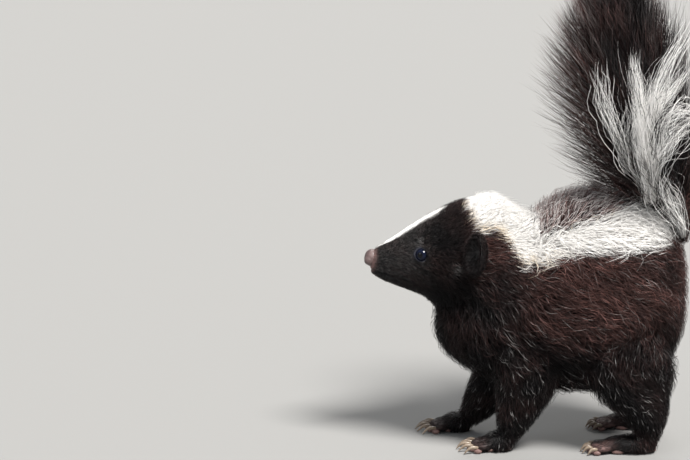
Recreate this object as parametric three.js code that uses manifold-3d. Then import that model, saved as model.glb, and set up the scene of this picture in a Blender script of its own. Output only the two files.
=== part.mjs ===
// A striped skunk kit of about nine weeks, standing with its bushy tail raised over its back.
// Millimetres, +Z up. The nose points to -X, so the animal's left side is at -Y.
import * as THREE from "three";
import { mergeVertices } from "three/addons/utils/BufferGeometryUtils.js";
import Module from "manifold-3d";

const wasm = await Module();
wasm.setup();

// Driving dimensions
const GAP = 0.3; // clear space between pieces that meet
const OUTLINE_MIDDLE_X = 8.4; // the outline's middle, which stands over the origin
const SIDES = { left: -1, right: 1 };

const TORSO = { from: -58, to: 97, frontSquare: 2.6, backSquare: 3.2 };
const NECK = { from: -54, to: 26, frontSquare: 3, backSquare: 3 };
const HEAD = { from: -95.8, to: -10, frontSquare: 9, backSquare: 3 };
const THROAT_Z = 76; // the chest's coat starts under this height
const NECK_SEAM = { at: [-14, 0, 115], facing: [-0.87, 0, 0.5] };
const HEAD_SEAM = { at: [-29, 0, 120], facing: [-0.96, 0, 0.28] };

const EYE = { x: -63.9, y: 14.6, z: 120.7, radius: 4.6, lid: 1.2, facing: [-0.42, 0.88, 0.12] };
const EAR = { x: -33, y: 35, z: 125, width: 7.5, depth: 4.6, height: 12, wall: 1.5, facing: [-0.72, 0.66, 0.14] };
const NOSE = { x: -94.6, z: 115.5, length: 4.6, width: 5.4, height: 5.4, nostril: 1.4 };
const MOUTH = { front: -98, corner: -72, lip: 109, cornerZ: 104.4, throat: -61, slit: 0.6 };

const FORE_LEG = { y: 21, stride: 24, line: [[-8, 84], [-3, 50], [-9, 24], [-13, 5]] };
const HIND_LEG = { y: 26, stride: -8, line: [[64, 78], [58, 50], [70, 26], [73, 5]] };
const FORE_FOOT = { x: -18, length: 21, width: 17, height: 12, toe: 2.7, reach: 9, claw: 8.5, spread: 0.3 };
const HIND_FOOT = { x: 62, length: 36, width: 16, height: 12, toe: 2.6, reach: 9, claw: 5.5, spread: 0.2 };
const TOES = 5;

// The coat's flat locks: how deep its core lies under their tips, the rings they are rooted in as shares
// of the body or line, how many stand in a ring, how far back they reach and how much they hang down.
// The tail's lean, in degrees, spreads its front hair wider than its back hair.
const LOCK = { thick: 2.2, sunk: 4, seed: 41 };
const TORSO_COAT = {
  core: 7,
  rows: [-0.86, -0.62, -0.38, -0.14, 0.1, 0.34, 0.56, 0.76],
  around: 9,
  reach: 0.3,
  drop: 0.32,
  half: 15,
  steps: 3,
};
const CHEST_COAT = { core: 7, rows: [-0.6], around: 4, reach: -0.34, half: 13, steps: 3 };
const NECK_COAT = { core: 4.5, rows: [-0.2, 0.02], around: 11, reach: 0.32, drop: 0.2, half: 10, steps: 3 };
const TAIL_COAT = { rows: [0.08, 0.2, 0.32, 0.45, 0.58, 0.72, 0.86], around: 8, lean: 7, widest: 0.38, steps: 3 };

// Rows of [x, top, bottom, half width] of the coat's outline, from nose to tail.
const TORSO_ROWS = [
  [-58, 100, 46, 30],
  [-38, 120, 38, 37],
  [-12, 136, 33, 42],
  [6, 144, 31, 44],
  [20, 153, 30.5, 45.5],
  [38, 159, 30, 47],
  [62, 161, 29, 49],
  [84, 159, 32, 47],
  [97, 155, 40, 43],
];
const NECK_ROWS = [
  [-54, 141, 90, 23],
  [-40, 151, 78, 31],
  [-26, 156, 68, 36],
  [-14, 151, 63, 38],
  [0, 145, 57, 39.5],
  [26, 139, 48, 41],
];
const HEAD_ROWS = [
  [-95.8, 121.2, 105, 6.8],
  [-90, 123.8, 102.2, 8.8],
  [-82, 128, 99.2, 11.2],
  [-74, 133.2, 96.6, 14.2],
  [-66, 138.4, 93.6, 18.2],
  [-56, 144.4, 89, 24.6],
  [-46, 149.8, 84, 29.8],
  [-32, 154.8, 78, 33],
  [-10, 156, 70, 34],
];

// The line of the tail, its radius at shares of it, and its hair as [share, spread in degrees, length].
const TAIL_LINE = [
  [88, 0, 128],
  [80, 0, 160],
  [70, 0, 190],
  [61, 0, 220],
  [54, 0, 250],
  [50, 0, 274],
];
const TAIL_ROWS = [
  [0, 14, 14, 14],
  [0.18, 23, 23, 24],
  [0.5, 29, 29, 29],
  [0.8, 24, 24, 24],
  [1, 14, 14, 14],
];
const PLUME_ROWS = [
  [0, 66, 38],
  [0.1, 60, 50],
  [0.24, 50, 65],
  [0.38, 42, 73],
  [0.52, 36, 75],
  [0.66, 31, 66],
  [0.8, 24, 52],
  [0.95, 12, 36],
  [1, 8, 32],
];

// Rows of [share of the leg's line, side, back, front] radii of its coat, from the shoulder or hip down.
const FORE_ROWS = [
  [0, 15, 20, 18],
  [0.35, 16, 23, 16],
  [0.7, 13, 18, 13],
  [1, 10, 12, 10],
];
const HIND_ROWS = [
  [0, 17, 27, 24],
  [0.24, 18, 31, 22.5],
  [0.45, 17.5, 30, 20],
  [0.72, 15, 18, 14],
  [1, 11, 12, 11],
];

// Smooth values at a place, from rows that start with their place.
function valuesAt(rows, place) {
  const last = rows.length - 1;
  let i = 0;
  while (i < last - 1 && place > rows[i + 1][0]) i++;
  const [a, b] = [rows[i], rows[i + 1]];
  const [before, after] = [rows[Math.max(i - 1, 0)], rows[Math.min(i + 2, last)]];
  const span = b[0] - a[0];
  const t = THREE.MathUtils.clamp((place - a[0]) / span, 0, 1);
  return a.slice(1).map((value, k) => {
    const slopeA = ((b[k + 1] - before[k + 1]) / (b[0] - before[0] || 1)) * span;
    const slopeB = ((after[k + 1] - value) / (after[0] - a[0] || 1)) * span;
    const rise = b[k + 1] - value;
    return value + t * (slopeA + t * (3 * rise - 2 * slopeA - slopeB + t * (slopeA + slopeB - 2 * rise)));
  });
}

// A seeded source of draws between -1 and 1.
function drawsFrom(seed) {
  let state = seed;
  return () => {
    state = (state + 0x6d2b79f5) | 0;
    let t = Math.imul(state ^ (state >>> 15), 1 | state);
    t = (t + Math.imul(t ^ (t >>> 7), 61 | t)) ^ t;
    return ((t ^ (t >>> 14)) >>> 0) / 2147483648 - 1;
  };
}

// A geometry that holds only merged positions, each moved by place(x, y, z).
function moved(geometry, place) {
  geometry.deleteAttribute("normal");
  geometry.deleteAttribute("uv");
  const merged = mergeVertices(geometry, 1e-4);
  const position = merged.attributes.position;
  for (let i = 0; i < position.count; i++)
    position.setXYZ(i, ...place(position.getX(i), position.getY(i), position.getZ(i)));
  return merged;
}

const still = (x, y, z) => [x, y, z];

// The same closed surface, swollen along its vertex normals.
function grown(geometry, by = GAP) {
  const copy = geometry.clone();
  copy.computeVertexNormals();
  const { position, normal } = copy.attributes;
  for (let i = 0; i < position.count; i++)
    position.setXYZ(
      i,
      position.getX(i) + normal.getX(i) * by,
      position.getY(i) + normal.getY(i) * by,
      position.getZ(i) + normal.getZ(i) * by,
    );
  copy.deleteAttribute("normal");
  return copy;
}

// A closed geometry as a solid that can be joined and cut.
function solid(geometry) {
  return new wasm.Manifold(
    new wasm.Mesh({
      numProp: 3,
      vertProperties: new Float32Array(geometry.attributes.position.array),
      triVerts: new Uint32Array(geometry.index.array),
    }),
  );
}

// The largest closed surface of a solid, as a geometry.
function largest(body) {
  const kept = body
    .simplify(0.03)
    .decompose()
    .reduce((a, b) => (b.volume() > a.volume() ? b : a));
  const mesh = kept.getMesh();
  return new THREE.BufferGeometry()
    .setAttribute("position", new THREE.BufferAttribute(new Float32Array(mesh.vertProperties), 3))
    .setIndex(new THREE.BufferAttribute(new Uint32Array(mesh.triVerts), 1));
}

const joined = (body, others) => others.reduce((all, other) => all.add(other), body);
const without = (body, others) => others.reduce((all, other) => all.subtract(other), body);

// The part of a solid on the nose side of a seam, or behind it, that keeps off the seam.
function beforeSeam(body, seam, clear = GAP / 2) {
  const facing = new THREE.Vector3(...seam.facing).normalize();
  const level = facing.dot(new THREE.Vector3(...seam.at));
  return body.trimByPlane(facing.toArray(), level + clear);
}

function behindSeam(body, seam, clear = GAP / 2) {
  const facing = new THREE.Vector3(...seam.facing).normalize().negate();
  const level = facing.dot(new THREE.Vector3(...seam.at));
  return body.trimByPlane(facing.toArray(), level + clear);
}

const aboveFloor = (body) => body.trimByPlane([0, 0, 1], 0);

// A matrix that sets a shape's +Z along a direction on one side of the animal, with its +Y upwards.
function turnedTo([x, y, z], side, at) {
  const turn = new THREE.Matrix4().lookAt(
    new THREE.Vector3(x, y * side, z),
    new THREE.Vector3(),
    new THREE.Vector3(0, 0, 1),
  );
  return new THREE.Matrix4().makeTranslation(...at).multiply(turn);
}

// How much of its width a round-ended body keeps at a share of its half length.
const closingAt = (share, square) => Math.max(0, 1 - Math.abs(share) ** square) ** (1 / square);

// A place on a body along X. Share runs from -1 at the front to 1, and the angle from the top to +Y.
function trunkPlace({ from, to, frontSquare, backSquare }, rows, share, angle, inset = 0) {
  const closing = closingAt(share, share < 0 ? frontSquare : backSquare);
  const x = (from + to) / 2 + share * ((to - from) / 2 - inset);
  const [top, bottom, half] = valuesAt(rows, x);
  return new THREE.Vector3(
    x,
    Math.sin(angle) * closing * (half - inset),
    (top + bottom) / 2 + Math.cos(angle) * closing * ((top - bottom) / 2 - inset),
  );
}

function trunkShape(body, rows, inset, segments, rings) {
  return moved(new THREE.SphereGeometry(1, segments, rings), (ux, uy, uz) =>
    trunkPlace(body, rows, -uy, Math.atan2(ux, uz), inset).toArray(),
  );
}

const lineThrough = (points) => new THREE.CatmullRomCurve3(points.map((p) => new THREE.Vector3(...p)));

// A place on a limb along a line, at a share of its length. Angle 0 is its back.
function limbPlace(line, rows, share, angle, square = 2.6) {
  const closing = closingAt(2 * share - 1, square);
  const along = line.getTangent(share);
  const across = new THREE.Vector3(0, 1, 0).addScaledVector(along, -along.y).normalize();
  const back = new THREE.Vector3().crossVectors(along, across);
  const [side, rear, front] = valuesAt(rows, share);
  const lift = Math.cos(angle) * (Math.cos(angle) > 0 ? rear : front);
  return line
    .getPoint(share)
    .addScaledVector(across, Math.sin(angle) * closing * side)
    .addScaledVector(back, lift * closing);
}

function limbShape(line, rows, segments, rings, square = 2.6) {
  return moved(new THREE.SphereGeometry(1, segments, rings), (ux, uy, uz) =>
    limbPlace(line, rows, (1 - uy) / 2, Math.atan2(ux, uz), square).toArray(),
  );
}

// An egg-shaped lump with the given radii.
function egg(radii, at, segments = 12, rings = 8, turn = new THREE.Euler()) {
  const place = new THREE.Matrix4().compose(
    new THREE.Vector3(...at),
    new THREE.Quaternion().setFromEuler(turn),
    new THREE.Vector3(...radii),
  );
  return moved(new THREE.SphereGeometry(1, segments, rings), still).applyMatrix4(place);
}

// A flat, tapered lock of hair that bends from its root over its middle to its tip.
function lockSolid({ root, middle, tip, half, twist, steps }, spare = 0) {
  const bend = new THREE.QuadraticBezierCurve3(root, middle, tip);
  const reach = tip.clone().sub(root).normalize();
  const wide = middle.clone().sub(root).cross(tip.clone().sub(middle)).normalize();
  wide.applyAxisAngle(reach, twist);
  const shape = moved(new THREE.ConeGeometry(1, 1, 4, steps), (cx, cy, cz) => {
    const share = cy + 0.5;
    const taper = Math.max(1 - share, 1e-6);
    const along = bend.getTangent(share);
    const across = wide.clone().addScaledVector(along, -wide.dot(along)).normalize();
    const lift = new THREE.Vector3().crossVectors(across, along);
    const width = (half + spare) * (0.42 + 1.3 * share) * taper ** 0.62;
    const depth = (LOCK.thick / 2 + spare) * taper ** 0.35;
    return bend
      .getPoint(share)
      .addScaledVector(along, spare * share)
      .addScaledVector(across, (cx / taper) * width)
      .addScaledVector(lift, (cz / taper) * depth)
      .toArray();
  });
  return solid(shape);
}

const lockSolids = (locks) => locks.map((lock) => lockSolid(lock));
const lockRooms = (locks) => locks.map((lock) => lockSolid(lock, GAP));

const draw = drawsFrom(LOCK.seed);

// The angles round a body of a ring's locks, staggered from ring to ring.
function ringAngles(row, around, arc = 2 * Math.PI) {
  const spread = (k) => (k + 0.5 + ((row % 2) - 0.5) / 2 + draw() * 0.16) / around - 0.5;
  return Array.from({ length: around }, (_, k) => spread(k) * arc);
}

// A coat in rings of locks. placeAt(share, angle, depth) gives a place at 0, the core, to 1, the tips,
// and at -1 a lock's root, sunk in the core.
function coatLocks({ rows, around, reach, drop = 0, half, steps }, placeAt, arc) {
  return rows.flatMap((share, row) =>
    ringAngles(row, around, arc).map((angle) => {
      const start = share + draw() * reach * 0.1;
      const length = reach * (1 + draw() * 0.12);
      const drift = drop * Math.sin(angle) + draw() * 0.07;
      return {
        root: placeAt(start, angle, -1),
        middle: placeAt(start + length * 0.35, angle + drift * 0.3, 0.8),
        tip: placeAt(THREE.MathUtils.clamp(start + length, -0.96, 0.96), angle + drift, 1),
        half: half * (1 + draw() * 0.12),
        twist: draw() * 0.22,
        steps,
      };
    }),
  );
}

// The plume's locks leave the tail at the spread of their row, and bend up along it.
function plumeLocks({ rows, around, lean, widest, steps }, line) {
  return rows.flatMap((share, row) =>
    ringAngles(row, around).map((angle) => {
      const start = share + draw() * 0.02;
      const [degrees, length] = valuesAt(PLUME_ROWS, start);
      const spread = THREE.MathUtils.degToRad(degrees + lean * Math.cos(angle) + draw() * 5);
      const along = line.getTangentAt(start);
      const across = new THREE.Vector3(0, Math.sin(angle), 0);
      const outward = across.add(new THREE.Vector3(-along.z, 0, along.x).multiplyScalar(Math.cos(angle)));
      const root = line.getPointAt(start);
      const ray = (size, turn) =>
        root
          .clone()
          .addScaledVector(along, size * Math.cos(spread + turn))
          .addScaledVector(outward, size * Math.sin(spread + turn));
      const reach = length * (1 + draw() * 0.08);
      return {
        root: root.clone().addScaledVector(outward, LOCK.sunk),
        middle: ray(reach * 0.55, 0.3),
        tip: ray(reach, 0),
        half: length * widest * (1 + draw() * 0.12),
        twist: draw() * 0.25,
        steps,
      };
    }),
  );
}

// A depth in a coat as an inset from its outline, in mm.
const insetAt = (core, depth) => (depth < 0 ? core + LOCK.sunk : core * (1 - depth));
const bowed = (share) => Math.sin((share * Math.PI) / 2);

// Finishes: colour, roughness
const FINISHES = {
  black_coat: [0x1b1412, 0.75],
  nose_skin: [0x7a5248, 0.45],
  eye: [0x0b0e16, 0.06],
  ear_skin: [0x2a1f1d, 0.7],
  paw_skin: [0x6b4c44, 0.6],
  claw: [0xb9a58e, 0.4],
};

const skunk = new THREE.Group();

function addNode(name, body, finish) {
  const [color, roughness] = FINISHES[finish];
  const material = new THREE.MeshStandardMaterial({ color, roughness, metalness: 0 });
  const mesh = new THREE.Mesh(largest(body), material);
  mesh.name = name;
  mesh.position.x = -OUTLINE_MIDDLE_X;
  skunk.add(mesh);
}

// The head, with a socket and lids for each eye.
const headShape = trunkShape(HEAD, HEAD_ROWS, 0, 22, 17);
const headRoom = solid(grown(headShape));
const headPlace = beforeSeam(headRoom, HEAD_SEAM, -GAP / 2);

function eyeCentre(side) {
  return [EYE.x, side * EYE.y, EYE.z];
}

function eyeLids(side) {
  const ring = moved(new THREE.TorusGeometry(EYE.radius * 0.92, EYE.lid, 4, 14), still);
  ring.scale(1.08, 0.82, 1).translate(0, 0, EYE.radius * 0.5);
  return solid(ring.applyMatrix4(turnedTo(EYE.facing, side, eyeCentre(side))));
}

const eyeBall = (side, spare = 0) => solid(egg(Array(3).fill(EYE.radius + spare), eyeCentre(side), 11, 7));
const bothSides = Object.values(SIDES);
const skull = without(
  joined(beforeSeam(solid(headShape), HEAD_SEAM), bothSides.map(eyeLids)),
  bothSides.map((side) => eyeBall(side, GAP)),
);

// The lower jaw is what lies under the line of the mouth, in front of the throat.
function jawBlock(spare) {
  const [width, floor] = [80, 70];
  const outline = new THREE.Shape();
  outline.moveTo(MOUTH.front, MOUTH.lip - MOUTH.slit / 2 + spare);
  outline.quadraticCurveTo(
    (MOUTH.front + MOUTH.corner) / 2,
    MOUTH.lip - MOUTH.slit / 2 + spare + 1,
    MOUTH.corner,
    MOUTH.cornerZ - MOUTH.slit / 2 + spare,
  );
  outline.lineTo(MOUTH.throat + spare, floor);
  outline.lineTo(MOUTH.front, floor);
  outline.closePath();
  const block = new THREE.ExtrudeGeometry(outline, { depth: width, bevelEnabled: false, curveSegments: 5 });
  return solid(moved(block, (x, y, z) => [x, width / 2 - z, y]));
}

// The nose pad stands in front of the upper lip and has two nostrils.
function nostril(side) {
  const turn = new THREE.Euler(0, 0.2, side * 0.5);
  const at = [NOSE.x - NOSE.length * 0.75, side * NOSE.width * 0.52, NOSE.z - NOSE.height * 0.12];
  return solid(egg([3.2, NOSE.nostril, NOSE.nostril * 0.85], at, 6, 5, turn));
}

const nosePad = solid(egg([NOSE.length, NOSE.width, NOSE.height], [NOSE.x, 0, NOSE.z], 11, 8));
const lipGroove = solid(egg([2, 0.45, 3.2], [NOSE.x - NOSE.length, 0, NOSE.z - NOSE.height * 0.55], 6, 4));

// An ear is a rounded cup that opens forwards and out.
function earCup(side) {
  const outer = moved(new THREE.SphereGeometry(1, 12, 8), still).scale(EAR.width, EAR.height, EAR.depth);
  const hollow = moved(new THREE.SphereGeometry(1, 11, 6), still)
    .scale(EAR.width - EAR.wall, EAR.height - EAR.wall, EAR.depth)
    .translate(0, 0, EAR.depth * 0.85);
  const place = turnedTo(EAR.facing, side, [EAR.x, side * EAR.y, EAR.z]);
  return solid(outer.applyMatrix4(place)).subtract(solid(hollow.applyMatrix4(place)));
}

// The neck and the torso: a core each, and the locks that stand on it.
const neckCore = trunkShape(NECK, NECK_ROWS, NECK_COAT.core, 20, 10);
const torsoCore = trunkShape(TORSO, TORSO_ROWS, TORSO_COAT.core, 18, 12);
const neckRoom = solid(grown(neckCore));
const torsoRoom = solid(grown(torsoCore)).add(neckRoom);

function isBefore(place, seam) {
  return new THREE.Vector3(...seam.facing).dot(place.clone().sub(new THREE.Vector3(...seam.at))) > 0;
}

function onTrunk(body, rows, core) {
  return (share, angle, depth) => trunkPlace(body, rows, bowed(share), angle, insetAt(core, depth));
}

const neckLocks = coatLocks(NECK_COAT, onTrunk(NECK, NECK_ROWS, NECK_COAT.core)).filter(
  ({ root }) => !isBefore(root, HEAD_SEAM) && isBefore(root, NECK_SEAM),
);
const flankLocks = coatLocks(TORSO_COAT, onTrunk(TORSO, TORSO_ROWS, TORSO_COAT.core)).filter(
  ({ root }) => !(isBefore(root, NECK_SEAM) && root.z > THROAT_Z),
);
const chestLocks = coatLocks(CHEST_COAT, onTrunk(TORSO, TORSO_ROWS, CHEST_COAT.core), Math.PI * 0.8);
const torsoLocks = [...flankLocks, ...chestLocks];

// The tail: a core and the plume of its long hair, in tiers.
const tailLine = lineThrough(TAIL_LINE);
const tailCore = limbShape(tailLine, TAIL_ROWS, 10, 8);
const tailLocks = plumeLocks(TAIL_COAT, tailLine);
const lowTailLocks = tailLocks.filter(({ root }) => root.z < 185);

// A leg's line, from the trunk to the foot. The right legs step out of line with the left ones.
function legLine(leg, side) {
  const shift = side > 0 ? -leg.stride : 0;
  const last = leg.line.length - 1;
  return lineThrough(leg.line.map(([x, z], i) => [x + shift * (i / last), side * leg.y, z]));
}

// The toes' rays on the floor, from the palm to where each claw starts.
function toeRays(foot, x, y) {
  return Array.from({ length: TOES }, (_, k) => {
    const spread = (k - (TOES - 1) / 2) / ((TOES - 1) / 2);
    const angle = spread * foot.spread;
    const setBack = spread ** 2 * foot.toe * 1.3;
    const across = y + spread * (foot.width / 2 - foot.toe);
    const ahead = new THREE.Vector3(-Math.cos(angle), Math.sin(angle), 0);
    const start = new THREE.Vector3(x - foot.length / 2 + foot.toe + setBack, across, foot.toe);
    return { start, ahead, tip: start.clone().addScaledVector(ahead, foot.reach) };
  });
}

function toe(foot, ray) {
  const middle = ray.start.clone().lerp(ray.tip, 0.5).setZ(foot.toe * 1.5);
  const rows = [
    [0, foot.toe, foot.toe, foot.toe],
    [1, foot.toe * 0.95, foot.toe * 0.95, foot.toe * 0.95],
  ];
  return solid(limbShape(new THREE.CatmullRomCurve3([ray.start, middle, ray.tip]), rows, 5, 4));
}

function clawShape(foot, ray) {
  const base = ray.tip.clone().addScaledVector(ray.ahead, -foot.toe * 0.35).setZ(foot.toe * 1.3);
  const end = ray.tip.clone().addScaledVector(ray.ahead, foot.claw).setZ(0.6);
  const knuckle = base.clone().lerp(end, 0.55).setZ(foot.toe * 1.45);
  const rows = [
    [0, 1.15, 1.5, 1.5],
    [0.5, 0.85, 1.05, 1.05],
    [1, 0.35, 0.35, 0.35],
  ];
  return limbShape(new THREE.CatmullRomCurve3([base, knuckle, end]), rows, 5, 4, 3);
}

// A leg with its foot and its claws.
function legParts(leg, rows, foot, side) {
  const line = legLine(leg, side);
  const shape = limbShape(line, rows, 11, 9);
  const x = foot.x + (side > 0 ? -leg.stride : 0);
  const rays = toeRays(foot, x, side * leg.y);
  const claws = rays.map((ray) => clawShape(foot, ray));
  const ankle = { at: [0, 0, foot.height * 0.85], facing: [0, 0, 1] };
  const palmRadii = [foot.length / 2, foot.width / 2, foot.height / 2];
  const palm = solid(egg(palmRadii, [x, side * leg.y, foot.height / 2 - 1.5], 9, 5));
  const wholeFoot = joined(palm, rays.map((ray) => toe(foot, ray))).add(solid(shape));
  const clawRooms = claws.map((claw) => solid(grown(claw)));
  return {
    upper: beforeSeam(solid(shape).subtract(torsoRoom), ankle),
    room: solid(grown(shape)),
    foot: aboveFloor(without(behindSeam(wholeFoot, ankle), clawRooms)),
    claws: claws.map((claw) => aboveFloor(solid(claw))),
  };
}

const legs = {};
for (const [name, side] of Object.entries(SIDES)) {
  legs[`fore_${name}`] = legParts(FORE_LEG, FORE_ROWS, FORE_FOOT, side);
  legs[`hind_${name}`] = legParts(HIND_LEG, HIND_ROWS, HIND_FOOT, side);
}

// Each body is cut clear of those that grow out of it.
const neck = joined(beforeSeam(solid(neckCore), NECK_SEAM), lockSolids(neckLocks)).subtract(headPlace);
const torso = without(
  joined(solid(torsoCore).add(behindSeam(solid(neckCore), NECK_SEAM, 0)), lockSolids(torsoLocks)),
  [
    beforeSeam(neckRoom, NECK_SEAM, -GAP / 2),
    headPlace,
    solid(grown(tailCore)),
    ...lockRooms(neckLocks),
    ...lockRooms(lowTailLocks),
    ...Object.values(legs).map((leg) => leg.room),
  ],
);
const tail = joined(solid(tailCore), lockSolids(tailLocks)).subtract(torsoRoom);

addNode("torso", torso, "black_coat");
addNode("neck", neck, "black_coat");
addNode("head", skull.subtract(jawBlock(MOUTH.slit)), "black_coat");
addNode("lower_jaw", skull.intersect(jawBlock(0)), "black_coat");
addNode("nose", without(nosePad, [headRoom, lipGroove, ...bothSides.map(nostril)]), "nose_skin");
addNode("tail", tail, "black_coat");
for (const [name, side] of Object.entries(SIDES)) {
  addNode(`eye_${name}`, eyeBall(side), "eye");
  addNode(`ear_${name}`, without(earCup(side), [headRoom, neckRoom, ...lockRooms(neckLocks)]), "ear_skin");
}
for (const [name, leg] of Object.entries(legs)) {
  const [kind, side] = name.split("_");
  addNode(`${kind}_leg_${side}`, leg.upper, "black_coat");
  addNode(`${kind}_foot_${side}`, leg.foot, "paw_skin");
  leg.claws.forEach((claw, k) => addNode(`claw_${name}_${k + 1}`, claw, "claw"));
}

export default skunk;
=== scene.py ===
"""A striped skunk kit of about nine weeks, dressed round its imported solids.

Sizes are in millimetres in the animal's own frame: the nose points to -X, its left side is at -Y and the
floor is at Z 0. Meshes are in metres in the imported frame, where the outline's middle is over the origin.
"""
import logging
import math
from dataclasses import dataclass, field
from enum import Enum
from typing import Callable

import bpy
import numpy as np
from mathutils import Matrix, Vector
from mathutils.bvhtree import BVHTree


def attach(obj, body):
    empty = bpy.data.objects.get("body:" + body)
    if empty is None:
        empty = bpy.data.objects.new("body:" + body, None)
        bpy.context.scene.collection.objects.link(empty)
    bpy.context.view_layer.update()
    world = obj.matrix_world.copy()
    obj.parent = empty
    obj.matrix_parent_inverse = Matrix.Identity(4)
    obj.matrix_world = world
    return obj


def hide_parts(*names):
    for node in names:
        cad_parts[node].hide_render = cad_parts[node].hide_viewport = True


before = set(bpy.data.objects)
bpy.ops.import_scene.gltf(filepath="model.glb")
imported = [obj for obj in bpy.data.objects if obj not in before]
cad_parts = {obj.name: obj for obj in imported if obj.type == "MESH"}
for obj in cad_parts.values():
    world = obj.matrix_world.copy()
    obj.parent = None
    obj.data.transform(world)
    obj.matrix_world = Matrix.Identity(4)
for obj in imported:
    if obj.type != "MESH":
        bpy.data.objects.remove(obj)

LOG = logging.getLogger("skunk")
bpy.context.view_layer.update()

MM = 0.001
OUTLINE_MIDDLE = 8.4
SEED = 17
BAKE_MAP = "OFBake"
BAKE_PATCH = 0.003
MARKS = "coat_marks"
BARE = "bare_hide"
FLOOR_CLEAR = 0.3
WIDEST = 62.0
GUARD_START = 0.93

Array = np.ndarray


class Side(Enum):
    """A side of the animal, as the sign of its Y."""

    LEFT = -1
    RIGHT = 1

    def label(self) -> str:
        """The side's name in the names of nodes and pieces."""
        return self.name.lower()


class Slot(Enum):
    """The record's material slots."""

    COAT = "black_coat"
    NOSE = "nose_skin"
    EYE = "eye"
    EAR = "ear_skin"
    PAW = "paw_skin"
    CLAW = "claw"


def to_frame(points: Array) -> Array:
    """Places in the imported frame, in metres, of places in the animal's own frame."""
    return (np.asarray(points, dtype=float) - (OUTLINE_MIDDLE, 0.0, 0.0)) * MM


def from_frame(points: Array) -> Array:
    """Places in the animal's own frame, in millimetres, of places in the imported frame."""
    return np.asarray(points, dtype=float) / MM + (OUTLINE_MIDDLE, 0.0, 0.0)


def unit(vectors: Array) -> Array:
    """The vectors at length 1."""
    return vectors / np.maximum(np.linalg.norm(vectors, axis=-1, keepdims=True), 1e-9)


def step(low: float, high: float, values: Array) -> Array:
    """A smooth rise from 0 at low to 1 at high."""
    t = np.clip((np.asarray(values, dtype=float) - low) / (high - low), 0.0, 1.0)
    return t * t * (3.0 - 2.0 * t)


def values_at(rows: tuple, places: Array) -> Array:
    """Smooth values at places, from rows that start with their place.

    Args:
        rows: Rows of a place and its values, in rising order of place.
        places: The places asked for.

    Returns:
        One row of values for each place.
    """
    table = np.array(rows, dtype=float)
    knots, values = table[:, 0], table[:, 1:]
    slopes = np.zeros_like(values)
    slopes[1:-1] = (values[2:] - values[:-2]) / (knots[2:] - knots[:-2])[:, None]
    slopes[0] = (values[1] - values[0]) / (knots[1] - knots[0])
    slopes[-1] = (values[-1] - values[-2]) / (knots[-1] - knots[-2])
    at = np.clip(np.atleast_1d(np.asarray(places, dtype=float)), knots[0], knots[-1])
    i = np.clip(np.searchsorted(knots, at, side="right") - 1, 0, len(knots) - 2)
    span = (knots[i + 1] - knots[i])[:, None]
    t = (at[:, None] - knots[i][:, None]) / span
    rise = values[i + 1] - values[i]
    first, last = slopes[i] * span, slopes[i + 1] * span
    return values[i] + t * (first + t * (3 * rise - 2 * first - last + t * (first + last - 2 * rise)))


def edge_at(edge: tuple, places: Array) -> Array:
    """The height of an edge at places along X, on straight lines between its points."""
    xs, heights = zip(*edge)
    return np.interp(places, xs, heights)


def ripple(points: Array, length: float, seed: int) -> Array:
    """A smooth seeded field of about -1 to 1 over space, with the given wave length in mm.

    Args:
        points: Places in mm, one row each.
        length: Wave length in mm.
        seed: Seed of the waves.

    Returns:
        One value for each place.
    """
    draws = np.random.default_rng(seed)
    waves = unit(draws.normal(size=(6, 3))) * (2 * math.pi / length) * draws.uniform(0.7, 1.5, (6, 1))
    phases = draws.uniform(0.0, 2 * math.pi, 6)
    return np.sin(points @ waves.T + phases).sum(axis=1) / 3.0


# Forms of the body


@dataclass(frozen=True)
class Station:
    """A ring of a lofted form: its centre, the way it faces, and its half sizes."""

    centre: Vector
    along: Vector
    across: float
    deep: float


@dataclass(frozen=True)
class Trunk:
    """A part of the body along X, with rounded ends. Its rows hold x, top, bottom and half width.

    The outline runs out to the tips of the hair, and the inset rows hold x and how deep the skin lies.
    """

    start: float
    end: float
    front_square: float
    back_square: float
    rows: tuple
    insets: tuple

    def stations(self, count: int = 26) -> list[Station]:
        """The rings of the skin from front to back.

        Args:
            count: How many.

        Returns:
            The rings.
        """
        rings = []
        middle, half_length = (self.start + self.end) / 2, (self.end - self.start) / 2
        for angle in np.linspace(math.pi * 0.97, math.pi * 0.03, count):
            share = math.cos(angle)
            square = self.front_square if share < 0 else self.back_square
            closing = (1 - abs(share) ** square) ** (1 / square)
            inset = float(values_at(self.insets, middle + share * half_length)[0, 0])
            x = middle + share * (half_length - inset)
            top, bottom, half = values_at(self.rows, x)[0]
            centre = Vector((x, 0.0, (top + bottom) / 2))
            across = closing * (half - inset)
            deep = closing * ((top - bottom) / 2 - inset)
            rings.append(Station(centre, Vector((1, 0, 0)), across, deep))
        return rings

    def closeness(self, points: Array) -> Array:
        """How far out places lie: 0 on the middle line, 1 at the outline.

        Args:
            points: Places in mm, one row each.

        Returns:
            One value for each place.
        """
        x = np.clip(points[:, 0], self.start, self.end)
        top, bottom, half = values_at(self.rows, x).T
        z = (points[:, 2] - (top + bottom) / 2) / ((top - bottom) / 2)
        return np.hypot(points[:, 1] / half, z) + np.abs(points[:, 0] - x) / 20

    def unwrap(self, points: Array) -> Array:
        """Places on a flat unwrap of the part: its angle round the body, and its share of the length.

        Args:
            points: Places in mm, one row each.

        Returns:
            Two coordinates for each place.
        """
        top, bottom, _ = values_at(self.rows, points[:, 0]).T
        angle = np.arctan2(points[:, 1], points[:, 2] - (top + bottom) / 2)
        share = (points[:, 0] - self.start) / (self.end - self.start)
        return np.stack([angle / (2 * math.pi) + 0.5, share], axis=1)


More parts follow.
